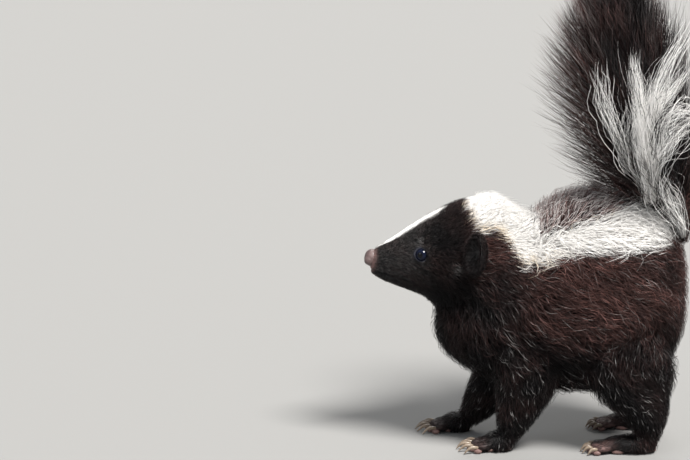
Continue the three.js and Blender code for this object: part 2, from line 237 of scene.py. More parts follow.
@dataclass(frozen=True)
class Limb:
    """A part of the body along a bent line. Its rows hold a share of it, and side, rear and front radii."""

    points: tuple
    rows: tuple
    inset: float
    square: float = 2.6

    def line(self, count: int = 24) -> tuple[Array, Array]:
        """Places along the line and the way it runs there.

        Args:
            count: How many.

        Returns:
            Places and directions.
        """
        knots = np.array(self.points, dtype=float)
        lengths = np.concatenate([[0.0], np.cumsum(np.linalg.norm(np.diff(knots, axis=0), axis=1))])
        table = np.column_stack([lengths / lengths[-1], knots])
        places = values_at(table, np.linspace(0.0, 1.0, count))
        return places, unit(np.gradient(places, axis=0))

    def rings(self, shares: Array) -> tuple[Array, Array, Array]:
        """The middles of the rings at shares of the line, the way it runs, and the side and depth radii.

        Args:
            shares: Shares of the length, 0 to 1.

        Returns:
            Middles, directions and radii.
        """
        places, ways = self.line(101)
        k = np.round(np.asarray(shares) * 100).astype(int)
        along = ways[k]
        across = unit(np.array((0.0, 1.0, 0.0)) - along * along[:, 1:2])
        side, rear, front = values_at(self.rows, shares).T
        middles = places[k] + np.cross(along, across) * ((rear - front) / 2)[:, None]
        return middles, along, np.stack([side, (rear + front) / 2], axis=1)

    def stations(self, count: int = 14) -> list[Station]:
        """The rings of the skin from root to end.

        Args:
            count: How many.

        Returns:
            The rings.
        """
        shares = (1 + np.cos(np.linspace(math.pi * 0.95, math.pi * 0.05, count))) / 2
        closing = (1 - np.abs(2 * shares - 1) ** self.square) ** (1 / self.square)
        middles, along, radii = self.rings(shares)
        sizes = closing[:, None] * (radii - self.inset)
        return [Station(Vector(m), Vector(a), *size) for m, a, size in zip(middles, along, sizes.tolist())]

    def nearest(self, points: Array) -> tuple[Array, Array, Array]:
        """For each place, its distance over the mean radius, the way the line runs, and its share of it.

        Args:
            points: Places in mm, one row each.

        Returns:
            Distances, directions and shares.
        """
        shares = np.linspace(0.0, 1.0, 24)
        middles, ways, radii = self.rings(shares)
        apart = np.linalg.norm(points[:, None, :] - middles[None], axis=2) / radii.mean(axis=1)
        k = apart.argmin(axis=1)
        return apart[np.arange(len(points)), k], ways[k], shares[k]

    def unwrap(self, points: Array) -> Array:
        """Places on a flat unwrap of the part: its angle round the line, and its share of it.

        Args:
            points: Places in mm, one row each.

        Returns:
            Two coordinates for each place.
        """
        _, ways, shares = self.nearest(points)
        out = points - self.rings(shares)[0]
        across = unit(np.array((0.0, 1.0, 0.0)) - ways * ways[:, 1:2])
        angle = np.arctan2((out * across).sum(axis=1), (out * np.cross(ways, across)).sum(axis=1))
        return np.stack([angle / (2 * math.pi) + 0.5, shares], axis=1)


TORSO = Trunk(
    start=-58,
    end=97,
    front_square=2.6,
    back_square=3.2,
    rows=(
        (-58, 100, 46, 30),
        (-38, 120, 38, 37),
        (-12, 136, 33, 42),
        (6, 144, 31, 44),
        (20, 153, 30.5, 45.5),
        (38, 159, 30, 47),
        (62, 161, 29, 49),
        (84, 159, 32, 47),
        (97, 155, 40, 43),
    ),
    insets=((-58, 7.5), (0, 8.5), (97, 8.5)),
)
NECK = Trunk(
    start=-54,
    end=26,
    front_square=3,
    back_square=3,
    rows=(
        (-54, 141, 90, 23),
        (-40, 151, 78, 31),
        (-26, 156, 68, 36),
        (-14, 151, 63, 38),
        (0, 145, 57, 39.5),
        (26, 139, 48, 41),
    ),
    insets=((-54, 4.5), (-20, 6), (26, 8)),
)
HEAD = Trunk(
    start=-95.8,
    end=-10,
    front_square=9,
    back_square=3,
    rows=(
        (-95.8, 121.2, 105, 6.8),
        (-90, 123.8, 102.2, 8.8),
        (-82, 128, 99.2, 11.2),
        (-74, 133.2, 96.6, 14.2),
        (-66, 138.4, 93.6, 18.2),
        (-56, 144.4, 89, 24.6),
        (-46, 149.8, 84, 29.8),
        (-32, 154.8, 78, 33),
        (-10, 156, 70, 34),
    ),
    insets=((-95.8, 0.4), (-84, 0.7), (-66, 1.3), (-50, 2.6), (-30, 4.2), (-10, 5)),
)
TAIL = Limb(
    points=((88, 0, 128), (80, 0, 160), (70, 0, 190), (61, 0, 220), (54, 0, 250), (50, 0, 274)),
    rows=((0, 14, 14, 14), (0.2, 13, 13, 13), (0.5, 12, 12, 12), (0.8, 9, 9, 9), (1, 6, 6, 6)),
    inset=1.5,
)


@dataclass(frozen=True)
class Foot:
    """A foot: its middle on the floor, its sizes, how far the toes reach, its claws, and how pink it is."""

    x: float
    length: float
    width: float
    height: float
    toe: float
    reach: float
    claw: float
    spread: float
    pink: float


@dataclass(frozen=True)
class LegPlan:
    """A pair of legs: how far they stand apart, how far the right one steps ahead, and their form."""

    y: float
    stride: float
    line: tuple
    rows: tuple
    foot: Foot


FORE = LegPlan(
    y=21,
    stride=24,
    line=((-8, 84), (-3, 50), (-9, 24), (-13, 5)),
    rows=((0, 15, 20, 18), (0.35, 16, 23, 16), (0.7, 13, 18, 13), (1, 10, 12, 10)),
    foot=Foot(x=-18, length=21, width=17, height=12, toe=2.7, reach=9, claw=8.5, spread=0.3, pink=0.25),
)
HIND = LegPlan(
    y=26,
    stride=-8,
    line=((64, 78), (58, 50), (70, 26), (73, 5)),
    rows=((0, 17, 27, 24), (0.24, 18, 31, 22.5), (0.45, 17.5, 30, 20), (0.72, 15, 18, 14), (1, 11, 12, 11)),
    foot=Foot(x=62, length=36, width=16, height=12, toe=2.6, reach=9, claw=5.5, spread=0.2, pink=0.8),
)
TOES = 5


# Meshes


def clear_selection() -> None:
    """Leaves nothing selected, in object mode."""
    if bpy.context.mode != "OBJECT":
        bpy.ops.object.mode_set(mode="OBJECT")
    bpy.ops.object.select_all(action="DESELECT")


def only(piece: bpy.types.Object) -> None:
    """Selects one object and makes it active."""
    clear_selection()
    piece.select_set(True)
    bpy.context.view_layer.objects.active = piece


def join(name: str, pieces: list[bpy.types.Object]) -> bpy.types.Object:
    """Joins objects to one at the origin.

    Args:
        name: The name of the joined object.
        pieces: The objects, which it replaces.

    Returns:
        The joined object.
    """
    clear_selection()
    for piece in pieces:
        piece.select_set(True)
    bpy.context.view_layer.objects.active = pieces[0]
    if len(pieces) > 1:
        bpy.ops.object.join()
    whole = bpy.context.object
    bpy.ops.object.transform_apply(location=True, rotation=True, scale=True)
    whole.name = whole.data.name = name
    return whole


def apply_modifier(piece: bpy.types.Object, kind: str, **settings: object) -> None:
    """Adds a modifier with its settings and applies it.

    Args:
        piece: The mesh object.
        kind: Blender's name for the modifier.
        settings: Its settings.
    """
    only(piece)
    bpy.ops.object.modifier_add(type=kind)
    modifier = piece.modifiers[-1]
    for key, value in settings.items():
        setattr(modifier, key, value)
    bpy.ops.object.modifier_apply(modifier=modifier.name)


def loft(name: str, stations: list[Station], sides: int = 28) -> bpy.types.Object:
    """Bridges rings along a line to one closed form.

    Args:
        name: The name of the form.
        stations: Its rings in order, in mm.
        sides: The number of corners of a ring.

    Returns:
        The form, at the origin.
    """
    rings = []
    for station in stations:
        along = station.along.normalized()
        across = (Vector((0, 1, 0)) - along * along.y).normalized()
        turn = Matrix((across, along.cross(across), along)).transposed()
        clear_selection()
        bpy.ops.mesh.primitive_circle_add(
            vertices=sides, radius=MM, location=to_frame(station.centre), rotation=turn.to_euler()
        )
        ring = bpy.context.object
        ring.scale = (station.across, station.deep, 1)
        rings.append(ring)
    whole = join(name, rings)
    bpy.ops.object.mode_set(mode="EDIT")
    bpy.ops.mesh.select_all(action="SELECT")
    bpy.ops.mesh.bridge_edge_loops()
    bpy.ops.mesh.select_all(action="SELECT")
    bpy.ops.mesh.fill_holes(sides=0)
    bpy.ops.mesh.select_all(action="SELECT")
    bpy.ops.mesh.normals_make_consistent(inside=False)
    bpy.ops.object.mode_set(mode="OBJECT")
    return whole


def lump(
    name: str, radii: tuple, at: tuple, turn: tuple = (0, 0, 0), segments: int = 32, rings: int = 20
) -> bpy.types.Object:
    """An egg-shaped lump.

    Args:
        name: The name of the lump.
        radii: Its half sizes, in mm.
        at: Its middle, in mm.
        turn: Its turn, as Euler angles.
        segments: The number of its meridians.
        rings: The number of its rings.

    Returns:
        The lump, at the origin.
    """
    clear_selection()
    bpy.ops.mesh.primitive_uv_sphere_add(
        segments=segments, ring_count=rings, radius=MM, location=to_frame(at), rotation=turn
    )
    egg = bpy.context.object
    egg.scale = radii
    return join(name, [egg])


def turned_to(facing: tuple, at: tuple) -> Matrix:
    """A matrix that sets a shape's +Z along a direction, with its +Y upwards, at a place in mm.

    Args:
        facing: The direction.
        at: The place in mm.

    Returns:
        The matrix.
    """
    along = Vector(facing).normalized()
    across = Vector((0, 0, 1)).cross(along).normalized()
    turn = Matrix((across, along.cross(across), along)).transposed().to_4x4()
    return Matrix.Translation(Vector(to_frame(at))) @ turn


def carve(piece: bpy.types.Object, cutter: bpy.types.Object) -> None:
    """Cuts one form out of another and removes the cutter."""
    apply_modifier(piece, "BOOLEAN", operation="DIFFERENCE", object=cutter, solver="EXACT")
    bpy.data.objects.remove(cutter)


def soften(piece: bpy.types.Object, voxel: float, rounds: int, factor: float = 0.5) -> None:
    """Makes a joined or cut form one even skin and smooths it.

    Args:
        piece: The form.
        voxel: The size of its new faces, in mm.
        rounds: How often it is smoothed.
        factor: How strongly it is smoothed.
    """
    apply_modifier(piece, "REMESH", mode="VOXEL", voxel_size=voxel * MM, adaptivity=0.0)
    apply_modifier(piece, "SMOOTH", factor=factor, iterations=rounds)


def corners_of(mesh: bpy.types.Mesh) -> Array:
    """The places of a mesh's corners, in mm."""
    places = np.empty(len(mesh.vertices) * 3)
    mesh.vertices.foreach_get("co", places)
    return from_frame(places.reshape(-1, 3))


def normals_of(mesh: bpy.types.Mesh) -> Array:
    """The normals at a mesh's corners."""
    normals = np.empty(len(mesh.vertices) * 3)
    mesh.vertices.foreach_get("normal", normals)
    return normals.reshape(-1, 3)


def set_corners(mesh: bpy.types.Mesh, places: Array) -> None:
    """Moves a mesh's corners to new places, given in mm."""
    mesh.vertices.foreach_set("co", to_frame(places).ravel())
    mesh.update()


def refine(piece: bpy.types.Object, chosen: Callable[[Array], Array]) -> None:
    """Halves the faces whose middles are chosen.

    Args:
        piece: The form.
        chosen: Tells for places in mm which are in the finer region.
    """
    middles = np.empty(len(piece.data.polygons) * 3)
    piece.data.polygons.foreach_get("center", middles)
    picked = chosen(from_frame(middles.reshape(-1, 3)))
    only(piece)
    bpy.ops.object.mode_set(mode="EDIT")
    bpy.ops.mesh.select_mode(type="FACE")
    bpy.ops.mesh.select_all(action="DESELECT")
    bpy.ops.object.mode_set(mode="OBJECT")
    piece.data.polygons.foreach_set("select", picked)
    bpy.ops.object.mode_set(mode="EDIT")
    bpy.ops.mesh.subdivide(number_cuts=1, smoothness=0)
    bpy.ops.object.mode_set(mode="OBJECT")


def shade(piece: bpy.types.Object) -> None:
    """Shades a piece smooth."""
    only(piece)
    bpy.ops.object.shade_smooth()


@dataclass(frozen=True)
class Marks:
    """The coat's markings, one value each for a corner or a hair, from 0 to 1.

    They are how white it is, how white its tips are, a draw for its tone, whose highest values the shader
    lifts into painted glints, and how brown the dark coat is, which on the flanks and the back is partly
    painted sunlight, or how cream the white one.
    """

    white: Array
    frost: Array
    tone: Array
    warm: Array

    def pick(self, chosen: Array) -> "Marks":
        """The markings of some of the hairs."""
        return Marks(self.white[chosen], self.frost[chosen], self.tone[chosen], self.warm[chosen])

    def paint(self, mesh: bpy.types.Mesh, shares: Array) -> None:
        """Stores the markings on a mesh, whose corners lie at shares of a hair's length.

        Args:
            mesh: The mesh, with the same number of corners for each hair.
            shares: The share of the length at each corner of one hair.
        """
        each = len(shares)
        along = np.tile(shares, len(self.tone))
        white = np.repeat(self.white, each) + np.repeat(self.frost, each) * step(0.3, 0.85, along)
        tone, warm = np.repeat(self.tone, each), np.repeat(self.warm, each)
        layer = mesh.color_attributes.new(name=MARKS, type="FLOAT_COLOR", domain="POINT")
        layer.data.foreach_set("color", np.stack([np.clip(white, 0, 1), along, tone, warm], axis=1).ravel())


def settle(piece: bpy.types.Object, slot: Slot, material: bpy.types.Material, *nodes: str) -> None:
    """Gives a finished piece its material and body, and hides the solids that it stands for.

    Args:
        piece: The finished piece.
        slot: Not used.
        material: Its material.
        *nodes: The solids that it replaces.
    """
    piece.data.materials.clear()
    piece.data.materials.append(material)
    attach(piece, "root")
    if nodes:
        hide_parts(*nodes)
    piece.data.calc_loop_triangles()
    LOG.info("%s: %d triangles", piece.name, len(piece.data.loop_triangles))


# Finishes


class Nodes:
    """Builds a node tree, one node a call."""

    def __init__(self, tree: bpy.types.NodeTree) -> None:
        """Starts on a tree."""
        self.tree = tree

    def add(self, kind: str, inputs: dict | None = None, **settings: object) -> bpy.types.Node:
        """Adds a node.

        Args:
            kind: The node's type.
            inputs: Values or output sockets for its inputs, by name or number.
            **settings: Its properties.

        Returns:
            The node.
        """
        node = self.tree.nodes.new(kind)
        for key, value in settings.items():
            setattr(node, key, value)
        for key, value in (inputs or {}).items():
            if isinstance(value, bpy.types.NodeSocket):
                self.tree.links.new(value, node.inputs[key])
            else:
                node.inputs[key].default_value = value
        return node

    def math(
        self, operation: str, first: object, second: object = 0.0, third: object = 0.0
    ) -> bpy.types.NodeSocket:
        """A sum, product or other value of up to three."""
        return self.add("ShaderNodeMath", {0: first, 1: second, 2: third}, operation=operation).outputs[0]

    def mix(self, share: object, first: object, second: object) -> bpy.types.NodeSocket:
        """A colour between two."""
        return self.add("ShaderNodeMix", {0: share, 6: first, 7: second}, data_type="RGBA").outputs[2]

    def spread(self, value: object, source: tuple, target: tuple = (0.0, 1.0)) -> bpy.types.NodeSocket:
        """A value moved from one range to another, and kept inside it."""
        inputs = {0: value, 1: source[0], 2: source[1], 3: target[0], 4: target[1]}
        return self.add("ShaderNodeMapRange", inputs).outputs[0]

    def noise(self, scale: float, detail: float = 3.0) -> bpy.types.NodeSocket:
        """Noise on Object coordinates, with the scale in waves a metre."""
        place = self.add("ShaderNodeTexCoord").outputs["Object"]
        return self.add("ShaderNodeTexNoise", {"Vector": place, "Scale": scale, "Detail": detail}).outputs[0]


def new_group(name: str, inputs: dict[str, str], outputs: dict[str, str]) -> tuple[bpy.types.NodeTree, Nodes]:
    """A shader node group with named sockets.

    Args:
        name: The group's name.
        inputs: Its inputs and their socket types.
        outputs: Its outputs and their socket types.

    Returns:
        The group and a builder on it.
    """
    tree = bpy.data.node_groups.new(name, "ShaderNodeTree")
    for label, kind in inputs.items():
        tree.interface.new_socket(name=label, in_out="INPUT", socket_type=kind)
    for label, kind in outputs.items():
        tree.interface.new_socket(name=label, in_out="OUTPUT", socket_type=kind)
    return tree, Nodes(tree)


def new_material(name: str) -> tuple[bpy.types.Material, Nodes]:
    """A material without nodes, and a builder on its tree.

    Args:
        name: Name of the material.

    Returns:
        The material and the builder.
    """
    material = bpy.data.materials.new(name)
    material.use_nodes = True
    material.node_tree.nodes.clear()
    return material, Nodes(material.node_tree)


def coat_colour_group() -> bpy.types.NodeTree:
    """The colour of skin and hair from the markings, with painted glints, and their roughness."""
    colours = ("Dark Root", "Dark Tip", "White", "Cream")
    tree, nodes = new_group(
        "coat_colour",
        dict.fromkeys(colours, "NodeSocketColor"),
        {"Color": "NodeSocketColor", "Roughness": "NodeSocketFloat"},
    )
    given = nodes.add("NodeGroupInput").outputs
    marks = nodes.add("ShaderNodeAttribute", attribute_name=MARKS)
    parts = nodes.add("ShaderNodeSeparateColor", {0: marks.outputs["Color"]}).outputs
    white, along, tone, warm = parts["Red"], parts["Green"], parts["Blue"], marks.outputs["Alpha"]
    patches = nodes.spread(nodes.noise(55), (0.3, 0.7), (0.55, 1.2))
    # Brown towards the tips as far as the warm mark goes; on the flanks and the back that brown is partly
    # painted sunlight.
    browned = nodes.math("MULTIPLY", nodes.math("MULTIPLY", nodes.math("POWER", along, 1.3), warm), patches)
    dark = nodes.mix(browned, given["Dark Root"], given["Dark Tip"])
    # Painted glints: the few hairs with the highest tone draws are made several times brighter, in place of
    # the sun's glints on single hairs.
    painted_glint = nodes.math("MULTIPLY", nodes.math("POWER", tone, 14.0), 2.4)
    tones = nodes.math("ADD", nodes.math("MULTIPLY_ADD", tone, 0.8, 0.45), painted_glint)
    shaded = nodes.add("ShaderNodeVectorMath", {0: dark, 1: tones}, operation="MULTIPLY").outputs[0]
    creamy = nodes.math("MULTIPLY", warm, nodes.spread(along, (0.2, 1.0), (1.0, 0.25)))
    creamy = nodes.math("MULTIPLY", creamy, nodes.spread(white, (0.86, 0.97)))
    light = nodes.mix(creamy, given["White"], given["Cream"])
    rough = nodes.spread(tone, (0.0, 1.0), (0.5, 0.34))
    nodes.add("NodeGroupOutput", {"Color": nodes.mix(white, shaded, light), "Roughness": rough})
    return tree


def grain_group() -> bpy.types.NodeTree:
    """Fine pebbles and creases of bare skin or horn, as a normal and a mask."""
    tree, nodes = new_group(
        "grain",
        {"Scale": "NodeSocketFloat", "Depth": "NodeSocketFloat"},
        {"Mask": "NodeSocketFloat", "Normal": "NodeSocketVector"},
    )
    given = nodes.add("NodeGroupInput").outputs
    place = nodes.add("ShaderNodeTexCoord").outputs["Object"]
    cells = nodes.add("ShaderNodeTexVoronoi", {"Vector": place, "Scale": given["Scale"]}, feature="F1")
    fine = nodes.add("ShaderNodeTexNoise", {"Vector": place, "Scale": given["Scale"], "Detail": 5.0})
    mask = nodes.math("MULTIPLY_ADD", cells.outputs["Distance"], 0.7, fine.outputs[0])
    bump = nodes.add("ShaderNodeBump", {"Strength": given["Depth"], "Distance": 0.0003, "Height": mask})
    nodes.add("NodeGroupOutput", {"Mask": mask, "Normal": bump.outputs[0]})
    return tree


@dataclass(frozen=True)
class CoatFinish:
    """Brown-black hair with white markings."""

    name: str
    root: tuple = (0.0042, 0.0039, 0.0045, 1)
    # The brown of the dark hair's tips; where the warm mark is high, on the flanks and the back, it is partly
    # painted sunlight.
    tip: tuple = (0.155, 0.074, 0.064, 1)
    white: tuple = (0.98, 0.965, 0.945, 1)
    cream: tuple = (0.86, 0.64, 0.35, 1)
    specular: float = 0.2

    def tint(self, nodes: Nodes, group: bpy.types.NodeTree) -> bpy.types.Node:
        """Adds the group of the coat's colours with this finish's values.

        Args:
            nodes: The material's nodes.
            group: The node group.

        Returns:
            The group's node.
        """
        node = nodes.add("ShaderNodeGroup", node_tree=group)
        colours = {"Dark Root": self.root, "Dark Tip": self.tip, "White": self.white, "Cream": self.cream}
        for label, value in colours.items():
            node.inputs[label].default_value = value
        return node

    def make(self, group: bpy.types.NodeTree) -> bpy.types.Material:
        """Builds the material from the group of the coat's colours.

        Args:
            group: The node group.

        Returns:
            The material.
        """
        material, nodes = new_material(self.name)
        tint = self.tint(nodes, group).outputs
        inputs = {
            "Base Color": tint["Color"],
            "Roughness": tint["Roughness"],
            "Specular IOR Level": self.specular,
        }
        shader = nodes.add("ShaderNodeBsdfPrincipled", inputs)
        nodes.add("ShaderNodeOutputMaterial", {"Surface": shader.outputs[0]})
        return material


@dataclass(frozen=True)
class SkinFinish(CoatFinish):
    """The hide under the coat: it follows the markings, and is bare at the nose, the lids and the toes."""

    pink: tuple = (0.2, 0.12, 0.11, 1)
    crease: tuple = (0.13, 0.075, 0.07, 1)
    grey: tuple = (0.055, 0.055, 0.07, 1)

    def make_with(self, group: bpy.types.NodeTree, grain: bpy.types.NodeTree) -> bpy.types.Material:
        """Builds the material from the groups of the coat's colours and of the grain.

        Args:
            group: The node group.
            grain: The node group of the grain.

        Returns:
            The material.
        """
        material, nodes = new_material(self.name)
        bare = nodes.add("ShaderNodeAttribute", attribute_name=BARE).outputs["Color"]
        parts = nodes.add("ShaderNodeSeparateColor", {0: bare}).outputs
        pores = nodes.add("ShaderNodeGroup", {"Scale": 2200.0, "Depth": 0.4}, node_tree=grain).outputs
        creases = nodes.spread(pores["Mask"], (0.5, 1.1), (0.0, 0.5))
        pink = nodes.mix(creases, self.pink, self.crease)
        colour = nodes.mix(parts["Red"], self.tint(nodes, group).outputs["Color"], pink)
        colour = nodes.mix(parts["Green"], colour, self.grey)
        inputs = {"Base Color": colour, "Roughness": nodes.spread(pores["Mask"], (0.4, 1.0), (0.42, 0.62))}
        inputs |= {"Specular IOR Level": self.specular, "Normal": pores["Normal"]}
        shader = nodes.add("ShaderNodeBsdfPrincipled", inputs)
        nodes.add("ShaderNodeOutputMaterial", {"Surface": shader.outputs[0]})
        return material


@dataclass(frozen=True)
class HideFinish:
    """Bare hide or horn: a light and a dark colour over a grain."""

    name: str
    light: tuple
    dark: tuple
    scale: float
    depth: float
    roughness: tuple
    coat: float = 0.0

    def make(self, group: bpy.types.NodeTree) -> bpy.types.Material:
        """Builds the material from the grain group.

        Args:
            group: The node group.

        Returns:
            The material.
        """
        material, nodes = new_material(self.name)
        values = {"Scale": self.scale, "Depth": self.depth}
        grain = nodes.add("ShaderNodeGroup", values, node_tree=group).outputs
        pores = nodes.spread(grain["Mask"], (0.45, 1.0), (0.0, 0.5))
        broad = nodes.spread(nodes.noise(self.scale / 8), (0.3, 0.7), (0.0, 0.5))
        inputs = {
            "Base Color": nodes.mix(nodes.math("ADD", pores, broad), self.light, self.dark),
            "Roughness": nodes.spread(grain["Mask"], (0.4, 1.0), self.roughness),
            "Normal": grain["Normal"],
            "Coat Weight": self.coat,
            "Coat Roughness": 0.15,
        }
        shader = nodes.add("ShaderNodeBsdfPrincipled", inputs)
        nodes.add("ShaderNodeOutputMaterial", {"Surface": shader.outputs[0]})
        return material


@dataclass(frozen=True)
class EyeFinish:
    """A wet, nearly black eye with a dark blue iris, on the ball's own map."""

    name: str = "wet_eye"
    pupil: tuple = (0.002, 0.002, 0.003, 1)
    iris: tuple = (0.005, 0.0075, 0.021, 1)
    rim: tuple = (0.006, 0.007, 0.014, 1)

    def make(self) -> bpy.types.Material:
        """Builds the material, which reads the angle from the pole in the ball's attribute."""
        material, nodes = new_material(self.name)
        ring = nodes.add("ShaderNodeAttribute", attribute_name="from_pole").outputs["Fac"]
        streaks = nodes.math("MULTIPLY_ADD", nodes.noise(2600, 4), 0.2, ring)
        iris = nodes.mix(nodes.spread(streaks, (0.42, 0.52)), self.pupil, self.iris)
        inputs = {
            "Base Color": nodes.mix(nodes.spread(ring, (0.68, 0.85)), iris, self.rim),
            "Roughness": 0.3,
            "Specular IOR Level": 0.0,
            "Coat Weight": 0.45,
            "Coat Roughness": 0.02,
        }
        shader = nodes.add("ShaderNodeBsdfPrincipled", inputs)
        nodes.add("ShaderNodeOutputMaterial", {"Surface": shader.outputs[0]})
        return material


@dataclass
class Finishes:
    """All the materials, built once."""

    coat: bpy.types.Material = field(init=False)
    skin: bpy.types.Material = field(init=False)
    nose: bpy.types.Material = field(init=False)
    ear: bpy.types.Material = field(init=False)
    paw: bpy.types.Material = field(init=False)
    claw: bpy.types.Material = field(init=False)
    eye: bpy.types.Material = field(init=False)

    def __post_init__(self) -> None:
        """Builds the groups and the materials."""
        colours, grain = coat_colour_group(), grain_group()
        self.coat = CoatFinish("guard_hair").make(colours)
        under = SkinFinish("under_coat", tip=(0.02, 0.011, 0.009, 1), specular=0.25)
        self.skin = under.make_with(colours, grain)
        nose = HideFinish(
            "nose_leather", (0.2, 0.13, 0.122, 1), (0.07, 0.045, 0.044, 1), 2600, 0.6, (0.3, 0.5), 0.2
        )
        ear = HideFinish(
            "ear_hide", (0.017, 0.012, 0.012, 1), (0.007, 0.006, 0.006, 1), 1800, 0.3, (0.5, 0.7)
        )
        paw = HideFinish("sole_hide", (0.3, 0.17, 0.15, 1), (0.11, 0.065, 0.058, 1), 1500, 0.6, (0.4, 0.65))
        claw = HideFinish(
            "claw_horn", (0.36, 0.29, 0.215, 1), (0.15, 0.105, 0.075, 1), 900, 0.25, (0.25, 0.45), 0.2
        )
        self.nose, self.ear, self.paw = nose.make(grain), ear.make(grain), paw.make(grain)
        self.claw = claw.make(grain)
        self.eye = EyeFinish().make()


# Markings and lie of the coat


@dataclass(frozen=True)
class Markings:
    """Where the coat is white, frosted or browned, from places near the tips of its hair.

    Some of the frost is painted glints and sheen, and some of the brown painted sunlight.
    """

    low_edge: tuple = (
        (-38, 162), (-35, 153), (-33.5, 147), (-30.5, 141), (-27, 137.5), (-20.5, 137.9), (-12.4, 135.2),
        (-8.2, 130.3), (-5.5, 122.8), (-2, 117), (1, 114.3), (8, 117), (15, 119.4), (22, 122), (35, 123),
        (43, 125), (61, 126), (93, 125.6), (100, 127),
    )
    high_edge: tuple = (
        (-9, 176), (-1, 164), (3, 152), (6, 142), (9.5, 137.5), (17.3, 140.1), (22.6, 142.2), (35, 145.1),
        (44, 146.9),
        (53.3, 149.1), (60.4, 151.2), (67, 155), (70, 163), (75, 163), (77, 158), (82, 153), (87, 149),
        (91.5, 144), (97, 138),
    )
    nose_line: tuple = (
        (-91.5, 0.5), (-88, 1.6), (-82, 2.9), (-72, 3.9), (-62, 4.0), (-54, 3.0), (-49.5, 1.5), (-47, 0),
    )
    nape: tuple = (-38, -35)
    soft: float = 1.2
    rump_rise: float = 12
    brow: tuple = (-65.0, 15.2, 128.6)
    ear_front: tuple = (-41.0, 31.5, 114.0)
    # The middle of the painted sheen round the eye.
    round_eye: tuple = (-66.0, 16.5, 120.0)
    most_frost: float = 0.84

    def spot(self, points: Array, at: tuple, radius: float) -> Array:
        """A soft round spot on both sides."""
        mirrored = points * (1, 0, 1) + np.abs(points) * (0, 1, 0)
        apart = np.linalg.norm(mirrored - at, axis=1)
        return np.exp(-((apart / radius) ** 2))

    def edges(self, points: Array) -> tuple[Array, Array]:
        """How far places lie over the cape's lower edge and under its upper edge, in mm.

        Args:
            points: Places in mm, one row each.

        Returns:
            Both distances for each place.
        """
        x, y, z = points.T
        ragged = 1.5 * ripple(points, 9.0, 3) + 1.1 * ripple(points, 3.5, 4)
        under = edge_at(self.high_edge, x) - z + 0.8 * ragged
        rump = self.rump_rise * step(72, 86, x) * step(24, 6, np.abs(y))
        return z - edge_at(self.low_edge, x) - rump + ragged, under

    def white(self, points: Array) -> Array:
        """How white the coat is, from 0 to 1: nape and stripes, and the line down the nose.

        Args:
            points: Places in mm, one row each.

        Returns:
            One value for each place.
        """
        x, y, z = points.T
        over, under = self.edges(points)
        cape = step(-self.soft, self.soft, over) * step(-self.soft, self.soft, under) * step(*self.nape, x)
        top = step(-0.2, 0.6, (z - 100) / 22)
        half = np.maximum(edge_at(self.nose_line, x), 0)
        line = step(-0.4, 0.4, half - np.abs(y) + 0.3 * ripple(points, 3.0, 5)) * top * step(0.2, 0.9, half)
        return np.clip(np.maximum(cape, line), 0.0, 1.0)

    def grizzle(self, points: Array) -> Array:
        """A little white in the dark hair: brows and the ears' lower front, and a painted sheen on the muzzle
        and round the eyes.

        Args:
            points: Places in mm, one row each.

        Returns:
            One value for each place.
        """
        x, _, z = points.T
        # Painted sheen on the muzzle.
        muzzle = 0.016 * step(-60, -76, x) * step(99, 108, z)
        brow = 0.17 * self.spot(points, self.brow, 2.4)
        ear = 0.12 * self.spot(points, self.ear_front, 3.2)
        # The last term is a painted sheen round the eyes.
        return muzzle + brow + ear + 0.012 * self.spot(points, self.round_eye, 9.0)

    def band(self, points: Array) -> Array:
        """How much places belong to the band on the back between the stripes, whose lighter brown is partly
        painted sunlight.
        """
        x, _, z = points.T
        return step(130, 140, z) * step(-4, 6, x) * step(84, 66, x)

    def frost(self, points: Array, chance: Array) -> Array:
        """How white the tips of dark hairs are: most in the band on the back, by chance elsewhere. The chance
        white tips on the shoulders and low down are painted glints, and those on the face painted sheen.

        Args:
            points: Places in mm, one row each.
            chance: A draw of 0 to 1 for each place.

        Returns:
            One value for each place.
        """
        x, _, z = points.T
        over, under = self.edges(points)
        band = step(-4, 4, x) * step(82, 66, x) * step(-38, -2, under) * step(3, 8, over)
        # Painted glints: white tips on a tenth of the hairs of shoulder and elbow.
        flank = 0.26 * step(-45, -10, x) * step(150, 120, z) * step(0.9, 1.0, chance)
        # Painted glints: white tips on a few hairs of the lower body and legs.
        low = 0.3 * step(80, 45, z) * (chance > 0.975)
        # Painted sheen: white tips on four in ten hairs of the face, from the eyes forward.
        face = 0.1 * step(-50, -66, x) * (chance > 0.6)
        return np.clip(band * step(0.95, 0.5, chance) + flank + low + face, 0.0, self.most_frost)

    def warm(self, points: Array) -> Array:
        """How brown dark hair is, and how cream white hair is, which it is at the cape's front edge. On the
        upper flanks and in the back's band the brown is partly painted sunlight.

        Args:
            points: Places in mm, one row each.

        Returns:
            One value for each place.
        """
        x, _, z = points.T
        over, _ = self.edges(points)
        # Painted sunlight: the upper flanks are browner, more so in front, where light falls on the coat.
        flank = step(-16, 18, x) * step(50, 92, z) * (0.72 + 0.28 * step(78, 30, x))
        collar = 0.55 * step(-42, -28, x) * step(98, 124, z)
        face = 0.35 * step(-88, -94, x)
        brown = np.max([0.85 * flank, collar, self.band(points)], axis=0)
        dark = np.clip(0.1 + brown + face + 0.14 * ripple(points, 26.0, 6), 0.03, 1.0)
        cream = (step(6, 0, over) * step(40, 0, x) * 0.85 + 0.03) * step(-45, -38, x)
        return np.where(self.white(points) > 0.5, cream, dark)

    def of(self, points: Array, draws: np.random.Generator) -> Marks:
        """The markings of hairs whose outer parts lie at the places.

        Args:
            points: Places in mm, one row each.
            draws: The random draws.

        Returns:
            The marks.
        """
        count = len(points)
        white = np.maximum(self.white(points), self.grizzle(points))
        frost = self.frost(points, draws.uniform(size=count))
        tone = draws.uniform(size=count)
